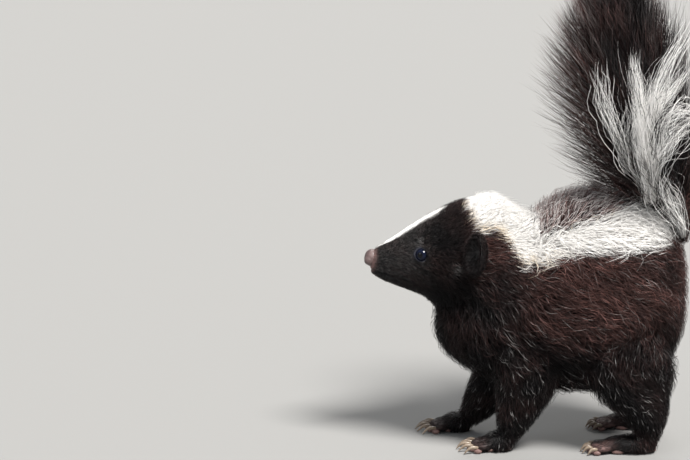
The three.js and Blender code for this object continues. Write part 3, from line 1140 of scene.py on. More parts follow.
        # The band's hairs get high tone draws, which the shader lifts towards its painted glints, so the band
        # reads lighter: partly painted sunlight.
        tone += 0.9 * (1 - tone) * self.band(points)
        return Marks(white, frost, tone, self.warm(points))


@dataclass(frozen=True)
class Pelage:
    """The hair of one part: its length, how high its tips stand, its half width, and hairs a square mm."""

    length: float
    height: float
    width: float
    density: float

    def values(self) -> Array:
        """The four values as an array."""
        return np.array([self.length, self.height, self.width, self.density])


@dataclass(frozen=True)
class CoatPart:
    """A part of the body for the coat: its form, its hair at both ends, and where its hairs are jointed."""

    name: str
    form: Trunk | Limb
    near: Pelage
    far: Pelage
    joints: tuple = (0.0, 0.3, 0.66, 1.0)


@dataclass
class Anatomy:
    """Which part of the body a place on the skin lies on, and how the hair lies there."""

    parts: dict[str, CoatPart] = field(default_factory=dict)
    nose_root: tuple = (-106.0, 0.0, 114.0)

    def add(self, part: CoatPart) -> None:
        """Adds a part."""
        self.parts[part.name] = part

    def shares(self, points: Array) -> tuple[Array, Array]:
        """How much each place belongs to each part, and its share of the part's length.

        Args:
            points: Places in mm, one row each.

        Returns:
            Weights and shares, one column a part.
        """
        near, shares = [], []
        for part in self.parts.values():
            if isinstance(part.form, Trunk):
                near.append(part.form.closeness(points))
                share = (points[:, 0] - part.form.start) / (part.form.end - part.form.start)
                shares.append(np.clip(share, 0, 1))
            else:
                apart, _, share = part.form.nearest(points)
                near.append(apart)
                shares.append(share)
        weights = np.exp(-14.0 * np.stack(near, axis=1))
        return weights / weights.sum(axis=1, keepdims=True), np.stack(shares, axis=1)

    def lie(self, points: Array) -> Array:
        """The way the hair lies at each place.

        Args:
            points: Places in mm, one row each.

        Returns:
            Unit directions.
        """
        weights, _ = self.shares(points)
        ways = np.zeros_like(points)
        for k, part in enumerate(self.parts.values()):
            ways += weights[:, k : k + 1] * self.way(part, points)
        return unit(ways)

    def crest(self, points: Array) -> Array:
        """How much a place belongs to the raised hair along the back and on the nape."""
        x, _, z = points.T
        top = np.where(x < 0, values_at(NECK.rows, x)[:, 0], values_at(TORSO.rows, x)[:, 0])
        return step(-40, -30, x) * step(22, 12, top - z) * step(96, 84, x)

    def way(self, part: CoatPart, points: Array) -> Array:
        """The way the hair of one part lies.

        Args:
            part: The part of the body.
            points: Places in mm, one row each.

        Returns:
            Unit directions.
        """
        x, y, z = points.T
        if part.name == "head":
            away = unit(points - self.nose_root)
            away[:, 2] -= 0.35 * step(0, 30, np.abs(y)) * step(135, 110, z)
            return unit(away)
        if isinstance(part.form, Limb):
            _, ways, _ = part.form.nearest(points)
            return unit(ways + (0.3, 0.0, 0.0))
        top, _, half = values_at(part.form.rows, x).T
        side = np.clip(np.abs(y) / half, 0, 1)
        chest = step(-12, -42, x) * step(112, 88, z)
        rump = step(74, 94, x) * step(142, 118, z)
        tail = step(62, 76, x) * step(138, 150, z)
        crest = self.crest(points)
        down = 0.12 + 0.5 * side * step(0, 45, top - z) + 1.5 * chest + 1.4 * rump
        back = 1.0 - 0.5 * chest - 0.5 * rump - 0.3 * crest - 0.5 * tail
        up = (0.35 + 0.3 * step(0, -15, x)) * crest + 1.2 * tail
        return unit(np.stack([back, -0.75 * crest * np.sign(y) * side, up - down], axis=1))

    def pelage(self, points: Array) -> Array:
        """Length, height, half width and density of the hair at each place.

        Args:
            points: Places in mm, one row each.

        Returns:
            Four values for each place.
        """
        weights, shares = self.shares(points)
        values = np.zeros((len(points), 4))
        for k, part in enumerate(self.parts.values()):
            near, far = part.near.values(), part.far.values()
            values += weights[:, k : k + 1] * (near + (far - near) * shares[:, k : k + 1])
        crest, belly = self.crest(points), step(72, 44, points[:, 2]) * weights[:, 2]
        values[:, 0] *= 1 - 0.34 * crest
        values[:, 1] *= 1 + 0.5 * crest
        values[:, 3] *= 1 - 0.55 * belly
        return values


# The skin


@dataclass
class Skin:
    """The one skin under the coat, from nose to tail, with lips, lids and eye sockets."""

    voxel: float = 1.5
    lip_front: float = 109.0
    lip_corner: tuple = (-73.0, 104.4)
    groove: float = 1.5
    nose: tuple = (-94.6, 0.0, 114.5)
    nodes: tuple = (
        "torso", "neck", "head", "lower_jaw", "tail",
        *(
            f"{pair}_{kind}_{side}"
            for pair in ("fore", "hind")
            for kind in ("leg", "foot")
            for side in ("left", "right")
        ),
    )

    def build(self, feet: list["FootParts"], eyes: list["Eye"]) -> bpy.types.Object:
        """Lofts the parts, makes them one skin and shapes the face.

        Args:
            feet: The feet, with the legs over them.
            eyes: The eyes, whose lids it carries.

        Returns:
            The skin.
        """
        forms = [loft("trunk", trunk.stations(), 40) for trunk in (TORSO, NECK, HEAD)]
        forms += [loft("limb", limb.stations(), 24) for limb in (TAIL, *(foot.limb() for foot in feet))]
        for foot in feet:
            forms += foot.forms()
        skin = join("skin", forms)
        soften(skin, self.voxel, 5)
        for _ in range(2):
            refine(skin, self.is_face)
        places = corners_of(skin.data)
        places += normals_of(skin.data) * self.relief(places)[:, None]
        for eye in eyes:
            places += eye.socket(places)
        places[:, 2] = np.maximum(places[:, 2], FLOOR_CLEAR)
        set_corners(skin.data, places)
        apply_modifier(skin, "SMOOTH", factor=0.25, iterations=1)
        skin = join("skin", [skin, *(eye.lids() for eye in eyes)])
        shade(skin)
        return skin

    def is_face(self, points: Array) -> Array:
        """The muzzle and the surroundings of the eyes, where the skin is finer."""
        x, y, z = points.T
        around_eye = (np.abs(x + 64.5) < 10) & (np.abs(np.abs(y) - 15) < 8) & (np.abs(z - 121) < 10)
        return ((x < -71) & (z > 97)) | around_eye

    def above_lip(self, points: Array) -> tuple[Array, Array]:
        """How far places lie over the mouth line, and how much the mouth reaches to them.

        Args:
            points: Places in mm, one row each.

        Returns:
            Heights in mm, and weights of 0 to 1.
        """
        x = points[:, 0]
        t = np.clip((x + 98) / 25, 0, 1)
        line = self.lip_front + (self.lip_corner[1] - self.lip_front) * t + 2.2 * t * (1 - t)
        reach = step(self.lip_corner[0] + 2.5, self.lip_corner[0] - 1.5, x)
        return points[:, 2] - line, reach

    def relief(self, points: Array) -> Array:
        """How far each place of the muzzle rises or sinks: lips, mouth line and the split under the nose.

        Args:
            points: Places in mm, one row each.

        Returns:
            Heights in mm.
        """
        above, reach = self.above_lip(points)
        mouth = -self.groove * np.exp(-((above / 0.5) ** 2)) * reach
        lips = 0.45 * np.exp(-(((np.abs(above) - 1.5) / 0.9) ** 2)) * reach
        middle = np.exp(-((points[:, 1] / 0.5) ** 2)) * step(-91, -94, points[:, 0])
        split = -0.5 * middle * step(0.2, 1.2, above) * step(9, 6, above)
        return mouth + lips + split

    def bare(self, points: Array, feet: list["FootParts"], eyes: list["Eye"]) -> tuple[Array, Array]:
        """How much the hide shows pink, round the nose and on the toes, and grey, on the lids.

        Args:
            points: Places in mm, one row each.
            feet: The four feet.
            eyes: Both eyes.

        Returns:
            Pink and grey, each 0 to 1.
        """
        pink = step(9.0, 5.5, np.linalg.norm(points - self.nose, axis=1))
        for foot in feet:
            pink = np.maximum(pink, foot.plan.foot.pink * foot.on_toes(points))
        grey = np.max([eye.rim(points) for eye in eyes], axis=0)
        return pink, grey

    def dress(
        self, skin: bpy.types.Object, feet: list["FootParts"], eyes: list["Eye"], finishes: Finishes
    ) -> None:
        """Paints the markings on the skin and settles it.

        Args:
            skin: The skin.
            feet: The feet, for the bare toes.
            eyes: The eyes, for the bare lids.
            finishes: The materials.
        """
        places = corners_of(skin.data)
        tips = places + normals_of(skin.data) * 4.0
        count, markings = len(places), Markings()
        marks = Marks(markings.white(tips), np.zeros(count), np.full(count, 0.4), markings.warm(tips))
        marks.paint(skin.data, np.array([0.25]))
        pink, grey = self.bare(places, feet, eyes)
        layer = skin.data.color_attributes.new(name=BARE, type="FLOAT_COLOR", domain="POINT")
        layer.data.foreach_set("color", np.stack([pink, grey, pink * 0, pink * 0 + 1], axis=1).ravel())
        settle(skin, Slot.COAT, finishes.skin, *self.nodes)


@dataclass
class SkinMap:
    """A finished surface for the coat: it draws places on it and drops places back onto it."""

    skin: bpy.types.Object
    tree: BVHTree = field(init=False)
    corners: Array = field(init=False)
    normals: Array = field(init=False)
    triangles: Array = field(init=False)
    areas: Array = field(init=False)

    def __post_init__(self) -> None:
        """Reads the surface's corners, normals and triangles."""
        mesh = self.skin.data
        mesh.calc_loop_triangles()
        self.corners, self.normals = corners_of(mesh), normals_of(mesh)
        flat = np.empty(len(mesh.loop_triangles) * 3, dtype=np.int32)
        mesh.loop_triangles.foreach_get("vertices", flat)
        self.triangles = flat.reshape(-1, 3)
        a, b, c = (self.corners[self.triangles[:, k]] for k in range(3))
        self.areas = np.linalg.norm(np.cross(b - a, c - a), axis=1) / 2
        self.tree = BVHTree.FromPolygons(self.corners.tolist(), self.triangles.tolist())

    def middles(self) -> Array:
        """The middles of the surface's triangles."""
        return self.corners[self.triangles].mean(axis=1)

    def draw(self, density: Array, draws: np.random.Generator) -> tuple[Array, Array]:
        """Draws places on the surface.

        Args:
            density: Places a square mm, for each triangle.
            draws: The source of draws.

        Returns:
            The places and the surface's normals there.
        """
        wanted = self.areas * density
        counts = np.floor(wanted + draws.uniform(size=len(wanted))).astype(int)
        chosen = np.repeat(np.arange(len(wanted)), counts)
        u, v = draws.uniform(size=(2, len(chosen)))
        flip = u + v > 1
        u[flip], v[flip] = 1 - u[flip], 1 - v[flip]
        shares = np.stack([1 - u - v, u, v], axis=1)[:, :, None]
        corners = self.triangles[chosen]
        places = (self.corners[corners] * shares).sum(axis=1)
        return places, unit((self.normals[corners] * shares).sum(axis=1))

    def drop(self, points: Array) -> tuple[Array, Array]:
        """Drops places onto the surface, and gives the normals there."""
        found = [self.tree.find_nearest(point) for point in points.tolist()]
        return np.array([hit[0] for hit in found]), np.array([hit[1] for hit in found])


# Hair


@dataclass(frozen=True)
class Tufts:
    """Tufts of hair as arrays: the path of each from root to tip, its half widths and its marks."""

    paths: Array
    widths: Array
    marks: Marks
    flat: float = 0.5

    def pick(self, chosen: Array) -> "Tufts":
        """Some of the tufts."""
        return Tufts(self.paths[chosen], self.widths[chosen], self.marks.pick(chosen), self.flat)

    def mesh(self, name: str, ups: Array, places: Array) -> bpy.types.Object:
        """Builds the tufts as one mesh of closed, three-sided, tapered strands.

        Args:
            name: The piece's name.
            ups: The way each tuft's back faces.
            places: Each root's place on the unwrapped skin, from 0 to 1.

        Returns:
            The piece.
        """
        count, rings = self.paths.shape[0], self.paths.shape[1] - 1
        along = unit(np.gradient(self.paths, axis=1))
        across = unit(np.cross(along, ups[:, None, :]))
        lift = np.cross(across, along)
        angles = np.array([math.pi / 2, math.pi * 7 / 6, math.pi * 11 / 6])
        corner = (
            across[:, :rings, None, :] * np.cos(angles)[None, None, :, None]
            + lift[:, :rings, None, :] * np.sin(angles)[None, None, :, None] * self.flat
        )
        body = self.paths[:, :rings, None, :] + corner * self.widths[:, :, None, None]
        points = np.concatenate([body.reshape(count, rings * 3, 3), self.paths[:, rings:, :]], axis=1)
        points[:, :, 2] = np.maximum(points[:, :, 2], FLOOR_CLEAR)
        faces, sizes = strand_faces(rings)
        each = rings * 3 + 1
        loops = (faces[None] + (np.arange(count) * each)[:, None]).ravel()
        starts_one = np.concatenate([[0], np.cumsum(sizes)[:-1]])
        starts = (starts_one[None] + (np.arange(count) * len(faces))[:, None]).ravel()
        mesh = bpy.data.meshes.new(name)
        mesh.vertices.add(count * each)
        mesh.vertices.foreach_set("co", to_frame(points.reshape(-1, 3)).ravel())
        mesh.loops.add(len(loops))
        mesh.loops.foreach_set("vertex_index", loops)
        mesh.polygons.add(count * len(sizes))
        mesh.polygons.foreach_set("loop_start", starts)
        mesh.update(calc_edges=True)
        shares = np.append(np.repeat(np.arange(rings) / rings, 3), 1.0)
        sides = np.append(np.tile([-0.5, 0.0, 0.5], rings), 0.0)
        patch = np.stack([np.tile(sides, count), np.tile(shares - 0.5, count)], axis=1) * BAKE_PATCH
        spots = np.clip(np.repeat(places, each, axis=0) + patch, 0, 1)
        mesh.uv_layers.new(name=BAKE_MAP).uv.foreach_set("vector", spots[loops].ravel())
        self.marks.paint(mesh, shares)
        piece = bpy.data.objects.new(name, mesh)
        bpy.context.scene.collection.objects.link(piece)
        shade(piece)
        return piece


def strand_faces(rings: int) -> tuple[Array, Array]:
    """The corners of a strand's faces, one after another, and how many corners each face has.

    Args:
        rings: How many rings of corners a strand has.

    Returns:
        Corners, and corner counts.
    """
    faces = [[2, 1, 0]]
    for ring in range(rings - 1):
        for side in range(3):
            a, b = ring * 3 + side, ring * 3 + (side + 1) % 3
            faces.append([a, b, b + 3, a + 3])
    last, tip = (rings - 1) * 3, rings * 3
    faces += [[last + side, last + (side + 1) % 3, tip] for side in range(3)]
    return np.concatenate(faces), np.array([len(face) for face in faces])


def bent(bends: Array, joints: tuple, middle: float = 0.45) -> Array:
    """Paths through the first, middle and last places of hairs, at shares of their length.

    Args:
        bends: Three places for each hair.
        joints: The shares.
        middle: The share at the middle place.

    Returns:
        The paths.
    """
    t, k = np.array(joints), middle
    weights = np.stack([(t - k) * (t - 1) / k, t * (t - 1) / (k * (k - 1)), t * (t - k) / (1 - k)], axis=1)
    return np.einsum("rk,nkc->nrc", weights, bends)


def gather(tips: Array, roots: Array, cell: float, share: float, draws: np.random.Generator) -> Array:
    """Draws the tips of neighbouring hairs together, as a real coat parts in small locks.

    Args:
        tips: The hairs' tips.
        roots: Their roots.
        cell: The size of a lock, in mm.
        share: How far the tips move to the lock's middle.
        draws: The source of draws.

    Returns:
        The new tips.
    """
    loose = roots + draws.normal(scale=cell * 0.22, size=roots.shape)
    keys = np.floor(loose / cell).astype(np.int64)
    code = (keys[:, 0] * 73856093) ^ (keys[:, 1] * 19349663) ^ (keys[:, 2] * 83492791)
    _, lock = np.unique(code, return_inverse=True)
    counts = np.bincount(lock)
    middles = np.stack([np.bincount(lock, weights=tips[:, k]) / counts for k in range(3)], axis=1)
    pull = (middles[lock] - tips) * share * draws.uniform(0.6, 1.2, (len(tips), 1))
    far = np.linalg.norm(pull, axis=1, keepdims=True)
    return tips + pull * np.minimum(1.0, 0.6 * cell / np.maximum(far, 1e-6))


def held(values: Array, limit: float, start: float) -> Array:
    """Presses values that pass a share of a limit back, so that none passes the limit itself."""
    room = limit * (1 - start)
    over = np.clip(np.abs(values) - limit * start, 0, None)
    return values - np.sign(values) * over * over / (over + room)


@dataclass
class Coat:
    """The hair of head, body, legs and feet, as strands that follow the skin.

    A share of it are guard hairs, which are longer and thinner and stray more than the rest.
    """

    skin: SkinMap
    anatomy: Anatomy
    body: Skin
    keep_clear: list[Callable[[Array], Array]]
    guard_share: float = 0.35
    lock: float = 4.0
    taper: tuple = ((0, 0.8), (0.3, 1.0), (0.66, 0.68), (1, 0.1))
    outer_shares: tuple = (0.5, 0.75, 1)

    def grow(self) -> tuple[Array, Array, Array, Array, Marks]:
        """Draws the roots and bends each hair over the skin along the lie of the coat.

        Returns:
            Roots, the skin's normals there, three places of each hair, its half width, and its marks.
        """
        draws = np.random.default_rng(SEED)
        middles = self.skin.middles()
        roots, normals = self.skin.draw(self.anatomy.pelage(middles)[:, 3] * self.is_hairy(middles), draws)
        count = len(roots)
        length, height, width, _ = self.anatomy.pelage(roots).T
        guard = draws.uniform(size=count) < self.guard_share
        length = length * draws.uniform(0.7, 1.08, count) * np.where(guard, 1.15, 1.0)
        height = height * np.where(guard, draws.uniform(0.8, 1.3, count), draws.uniform(0.45, 1.0, count))
        width = width * np.where(guard, 0.72, 1.08) * draws.uniform(0.8, 1.2, count)
        stray = draws.normal(size=count) * np.where(guard, 0.42, 0.24)
        lie = self.swept(roots, normals, stray)
        first, first_up = self.skin.drop(roots + lie * (length * 0.45)[:, None])
        onward = self.swept(first, first_up, stray * 1.5 + draws.normal(scale=0.22, size=count))
        last, last_up = self.skin.drop(first + onward * (length * 0.55)[:, None])
        tips = gather(last + last_up * height[:, None], roots, self.lock, 0.5, draws)
        middle = first + first_up * (height * 0.78)[:, None]
        bends = np.stack([roots - normals * 0.4, middle, tips], axis=1)
        marks = Markings().of(middle + (tips - middle) * 0.75, draws)
        outer = [bent(bends, (share,))[:, 0] for share in self.outer_shares]
        free = ~np.any([blocks(spots) for blocks in self.keep_clear for spots in outer], axis=0)
        return roots[free], normals[free], bends[free], width[free], marks.pick(free)

    def is_hairy(self, points: Array) -> Array:
        """Leaves the soles, the lids, the mouth line, the tail and what lies round the nose pad bare.

        Args:
            points: Places in mm, one row each.

        Returns:
            True where hair grows.
        """
        above, reach = self.body.above_lip(points)
        nose = 0.25 * step(4.6, 5.0, apart_from(points, self.body.nose)) + 0.75 * step(
            5.5, 9.0, apart_from(points, self.body.nose)
        )
        mouth = 1 - reach * (np.abs(above) < 0.7)
        tail = step(0.0, 1.0, (152 - points[:, 2]) / 10 + (points[:, 0] < 40) * 5)
        return step(1.0, 2.5, points[:, 2]) * nose * mouth * tail

    def swept(self, points: Array, normals: Array, stray: Array) -> Array:
        """The lie of the coat in the skin's plane, with waves and each hair's own stray angle.

        Args:
            points: Places in mm, one row each.
            normals: The skin's normals there.
            stray: Each hair's own stray angle.

        Returns:
            Unit directions.
        """
        way = self.anatomy.lie(points)
        way = unit(way - normals * (way * normals).sum(axis=1, keepdims=True))
        side = np.cross(normals, way)
        turn = 0.26 * ripple(points, 34.0, 8) + 0.16 * ripple(points, 11.0, 9) + stray
        return way * np.cos(turn)[:, None] + side * np.sin(turn)[:, None]

    def pieces(self, finishes: Finishes) -> None:
        """Parts the hair by region and side, and settles each as a piece.

        Args:
            finishes: The finishes of all pieces.
        """
        roots, normals, bends, width, marks = self.grow()
        owner = self.anatomy.shares(roots)[0].argmax(axis=1)
        LOG.info("coat: %d strands", len(roots))
        for k, part in enumerate(self.anatomy.parts.values()):
            taper = np.array([edge_at(self.taper, joint) for joint in part.joints[:-1]])
            for label, chosen in self.regions(part, roots, owner == k).items():
                paths = bent(bends[chosen], part.joints)
                tufts = Tufts(paths, width[chosen, None] * taper, marks.pick(chosen))
                piece = tufts.mesh(f"coat_{label}", normals[chosen], part.form.unwrap(roots[chosen]))
                settle(piece, Slot.COAT, finishes.coat)

    def regions(self, part: CoatPart, roots: Array, own: Array) -> dict[str, Array]:
        """The pieces that a part's coat is made in, by name.

        Args:
            part: The part of the body.
            roots: Roots of the hairs in mm.
            own: Which hairs belong to the part.

        Returns:
            Which hairs belong to each name.
        """
        if isinstance(part.form, Limb):
            return {part.name: own}
        halves = {side.label(): own & ((roots[:, 1] > 0) == (side is Side.RIGHT)) for side in Side}
        if part.name != "torso":
            return {f"{part.name}_{label}": half for label, half in halves.items()}
        back = roots[:, 2] > 108
        upper = {f"back_{label}": half & back for label, half in halves.items()}
        return upper | {f"belly_{label}": half & ~back for label, half in halves.items()}


def apart_from(points: Array, place: tuple) -> Array:
    """How far places lie from one place."""
    return np.linalg.norm(points - np.array(place), axis=1)


@dataclass
class Plume:
    """The long hair of the tail, which fans out of it and bends up along it."""

    rows: tuple = (
        (0, 66, 38), (0.1, 60, 50), (0.24, 50, 65), (0.38, 42, 73), (0.52, 36, 75),
        (0.66, 31, 66), (0.8, 24, 52), (0.95, 12, 36), (1, 8, 32),
    )
    lean: float = 7.0
    hairs: int = 16000
    width: float = 0.23
    joints: tuple = (0.0, 0.22, 0.5, 0.78, 1.0)

    def axis(self, shares: Array) -> tuple[Array, Array]:
        """Places along the tail and the way it runs there.

        Args:
            shares: Shares of the length, 0 to 1.

        Returns:
            Places and directions.
        """
        places, ways = TAIL.line(101)
        table = np.linspace(0, 1, 101)
        return values_at(np.column_stack([table, places]), shares), unit(
            values_at(np.column_stack([table, ways]), shares)
        )

    def build(self, finishes: Finishes) -> None:
        """Grows the plume and settles its two halves.

        Args:
            finishes: The finishes of all pieces.
        """
        draws = np.random.default_rng(SEED + 1)
        count = self.hairs
        start = draws.uniform(0.0, 1.0, count) ** 0.9
        angle = draws.uniform(-math.pi, math.pi, count)
        degrees, length = values_at(self.rows, start).T
        outer = draws.uniform(size=count) < 0.6
        reach = length * np.where(outer, draws.uniform(0.84, 1.04, count), draws.uniform(0.4, 0.85, count))
        base = step(0.2, 0.04, start) * step(0.35, 0.75, np.abs(np.sin(angle)))
        reach = reach * (1 - 0.5 * base)
        degrees = degrees * (1 - 0.45 * base)
        spread = np.radians(degrees + self.lean * np.cos(angle) + draws.normal(scale=9.0, size=count))
        spread = spread * np.where(outer, 1.0, draws.uniform(0.45, 1.0, count))
        place, along = self.axis(start)
        across = np.array((0.0, 1.0, 0.0)) - along * along[:, 1:2]
        front = np.stack([-along[:, 2], np.zeros(count), along[:, 0]], axis=1)
        outward = across * np.sin(angle)[:, None] + front * np.cos(angle)[:, None]
        radius = values_at(TAIL.rows, start)[:, 0] - TAIL.inset - 1.0
        root = place + outward * radius[:, None]

        def ray(size: Array, turn: Array) -> Array:
            """Places at a distance and an angle from the tail."""
            return place + along * (size * np.cos(turn))[:, None] + outward * (size * np.sin(turn))[:, None]

        middle, tip = ray(reach * 0.55, spread + 0.3), ray(reach, spread)
        sway = np.stack([ripple(tip, 24.0, 21), ripple(tip, 24.0, 22), ripple(tip, 24.0, 23)], axis=1)
        tip = gather(tip + 5.0 * sway, place + outward * 26 + along * (start * 30)[:, None], 6.5, 0.35, draws)
        t = np.array(self.joints)[None, :, None]
        path = root[:, None] * (1 - t) ** 2 + 2 * middle[:, None] * t * (1 - t) + tip[:, None] * t**2
        aside = unit(np.cross(along, outward))
        wave = np.sin(np.array(self.joints)[None] * 8.0 + draws.uniform(0, 6.28, (count, 1)))
        curl = wave * np.array((0, 0.9, 2.0, 2.7, 2.8))[None] * draws.uniform(0.3, 1.5, (count, 1))
        path += aside[:, None] * curl[:, :, None]
        path[:, :, 1] = held(path[:, :, 1], WIDEST, GUARD_START)
        widths = self.width * np.array((0.9, 1.0, 0.85, 0.55))[None] * draws.uniform(0.7, 1.3, (count, 1))
        marks = self.marks(tip, draws)
        spots = np.stack([angle / (2 * math.pi) + 0.5, start], axis=1)
        tufts = Tufts(path, widths, marks)
        lower = start < 0.5
        for side in Side:
            for label, height in (("lower", lower), ("upper", ~lower)):
                chosen = height & ((outward[:, 1] > 0) == (side is Side.RIGHT))
                name = f"plume_{label}_{side.label()}"
                piece = tufts.pick(chosen).mesh(name, outward[chosen], spots[chosen])
                settle(piece, Slot.COAT, finishes.coat)

    def marks(self, tips: Array, draws: np.random.Generator) -> Marks:
        """The plume's markings: black, with brown and pale-tipped hair in front and low down. In front the
        brown and the pale tips are partly the hair's own colour and partly painted backlight glints.

        Args:
            tips: Tips of the hairs in mm.
            draws: The random draws.

        Returns:
            The marks.
        """
        count = len(tips)
        # The plume's front edge, whose brown and pale tips stand partly for painted backlight glints.
        front = step(42, 14, tips[:, 0])
        low = step(205, 165, tips[:, 2])
        warm = np.clip(0.08 + 0.4 * front + 0.25 * low + 0.2 * ripple(tips, 30.0, 24), 0.03, 1.0)
        # Pale tips, mostly in front: painted backlight glints.
        frost = 0.2 * (0.1 + 0.9 * front) * (draws.uniform(size=count) > 0.8)
        return Marks(np.zeros(count), frost, draws.uniform(size=count), warm)


@dataclass(frozen=True)
class Strand:
    """A loose white lock of the tail: a guide of places in mm, its spread, its hairs, waves and whiteness."""

    guide: tuple
    spread: float
    hairs: int
    wave: float = 1.2
    white: float = 1.0


@dataclass
class WhiteStrands:
    """The long, wavy white hair that runs up both sides of the tail. Its guides are the left side's."""

    width: float = 0.17
    steps: int = 14
    dark_share: float = 0.1
    strands: tuple = (
        Strand(
            ((70, -22, 158), (67, -31, 175), (62, -37, 192), (62, -41, 206), (60, -40, 224), (57, -35, 247)),
            1.6, 170,
        ),
        Strand(
            ((71, -22, 156), (67, -33, 178), (64, -38, 196), (68, -40, 213), (77, -38, 238), (90, -32, 259)),
            1.8, 110,
        ),
        Strand(
            ((70, -22, 157), (66, -32, 178), (65, -38, 198), (69, -40, 212), (78, -39, 223), (89, -34, 237)),
            1.5, 120,
        ),
        Strand(
            (
                (72, -22, 156), (71, -33, 180), (74, -38, 196), (79, -40, 208), (88, -38, 215),
                (94, -34, 211), (91, -31, 202),
            ),
            2.4, 50, 2.2,
        ),
        Strand(
            ((72, -22, 156), (72, -33, 178), (78, -37, 190), (87, -36, 201), (97, -32, 205)),
            2.2, 50, 2.2,
        ),
        Strand(
            ((58, -28, 176), (49, -35, 196), (42, -38, 213), (39, -38, 225), (37, -35, 240)),
            2.4, 60, 0.9, 0.75,
        ),
        Strand(((70, -23, 160), (56, -32, 181), (54, -37, 200), (55, -37, 219)), 1.6, 22, 1.2),
        Strand(((93, -14, 132), (88, -22, 145), (78, -28, 162), (71, -32, 178)), 2.6, 60, 1.2, 0.6),
        Strand(((91, -16, 140), (88, -24, 152), (82, -28, 163), (77, -31, 176)), 2.4, 40, 1.4, 0.45),
    )

    def build(self, finishes: Finishes) -> None:
        """Grows the strands of each side and settles them.

        Args:
            finishes: The finishes of all pieces.
        """
        for side in Side:
            draws = np.random.default_rng(SEED + 5 + side.value)
            path = np.concatenate([self.hairs_of(strand, side, draws) for strand in self.strands])
            count = len(path)
            outward = unit(path[:, path.shape[1] // 2] - np.array((66.0, 0.0, 200.0)))
            taper = np.linspace(1.0, 0.45, self.steps - 1)
            widths = self.width * taper[None] * draws.uniform(0.6, 1.3, (count, 1))
            hairs = [strand.hairs for strand in self.strands]
            share = np.repeat([strand.white for strand in self.strands], hairs)
            white = np.where(draws.uniform(size=count) < share, 1.0, self.dark_share)
            marks = Marks(white, np.zeros(count), draws.uniform(size=count), np.zeros(count))
            piece = Tufts(path, widths, marks, flat=0.7).mesh(
                f"white_strands_{side.label()}", outward, TAIL.unwrap(path[:, 0])
            )
            settle(piece, Slot.COAT, finishes.coat)

    def hairs_of(self, strand: Strand, side: Side, draws: np.random.Generator) -> Array:
        """The paths of one lock's hairs.

        Args:
            strand: The lock.
            side: The side of the animal.
            draws: The random draws.

        Returns:
            Places along each hair.
        """
        guide = np.array(strand.guide, dtype=float) * (1, -side.value, 1)
        shares = np.linspace(0, 1, self.steps)
        table = np.column_stack([np.linspace(0, 1, len(guide)), guide])
        count = strand.hairs
        loose = draws.uniform(size=(count, 1, 1)) < 0.22
        offset = draws.normal(size=(count, 1, 3)) * strand.spread * np.where(loose, 2.2, 1.0)
        fan = 0.45 + 0.75 * np.sin(math.pi * 0.62 * shares[None, :, None])
        at = np.clip(shares[None] * draws.uniform(0.62, 1.04, (count, 1)), 0, 1)
        path = values_at(table, at.ravel()).reshape(count, self.steps, 3) + offset * fan
        phase = draws.uniform(0, 6.28, (count, 1, 3)) * 0.5 + draws.uniform(0, 6.28, (1, 1, 3))
        swing = np.sin(at[:, :, None] * draws.uniform(9, 19, (count, 1, 1)) + phase)
        wave = strand.wave * np.where(loose, 1.7, 1.0)
        path += swing * wave * (0.3 + shares[None, :, None])
        path[:, :, 1] = held(path[:, :, 1], WIDEST, GUARD_START)
        return path


@dataclass
class Whiskers:
    """The whiskers of the muzzle."""

    width: float = 0.11
    steps: int = 8
    rows: tuple = (111.5, 113.8, 116.2)
    columns: int = 4

    def build(self, finishes: Finishes) -> None:
        """Grows both sides' whiskers and settles them as one piece.

        Args:
            finishes: The finishes of all pieces.
        """
        draws = np.random.default_rng(SEED + 9)
        spots = [(s.value, r, c) for s in Side for r in range(len(self.rows)) for c in range(self.columns)]
        side, row, column = np.array(spots).T
        x = -90.5 + column * 3.2 + row * 0.8
        half = values_at(HEAD.rows, x)[:, 2]
        roots = np.stack([x, side * half * 0.84, np.array(self.rows)[row]], axis=1)
        reach = (15 + column * 2.4 + draws.uniform(-2, 2, len(x)))[:, None]
        tilt = 0.1 * (row - 1) + draws.uniform(-0.1, 0.1, len(x))
        way = unit(np.stack([0.35 + 0.12 * column, side * 0.85, tilt], axis=1))
        t = np.linspace(0, 1, self.steps)[None, :, None]
        sag = np.array((0.45, 0.0, -0.35))
        path = roots[:, None] + reach[:, None] * (way[:, None] * t + sag * t**2)
        widths = np.tile(self.width * np.linspace(1.0, 0.35, self.steps - 1), (len(x), 1))
        flat = np.zeros(len(x))
        tufts = Tufts(path, widths, Marks(flat, flat, flat + 0.6, flat + 0.3), flat=1.0)
        piece = tufts.mesh("whiskers", np.tile((0.0, 0.0, 1.0), (len(x), 1)), HEAD.unwrap(roots))
        settle(piece, Slot.COAT, finishes.coat)


# Features of the head


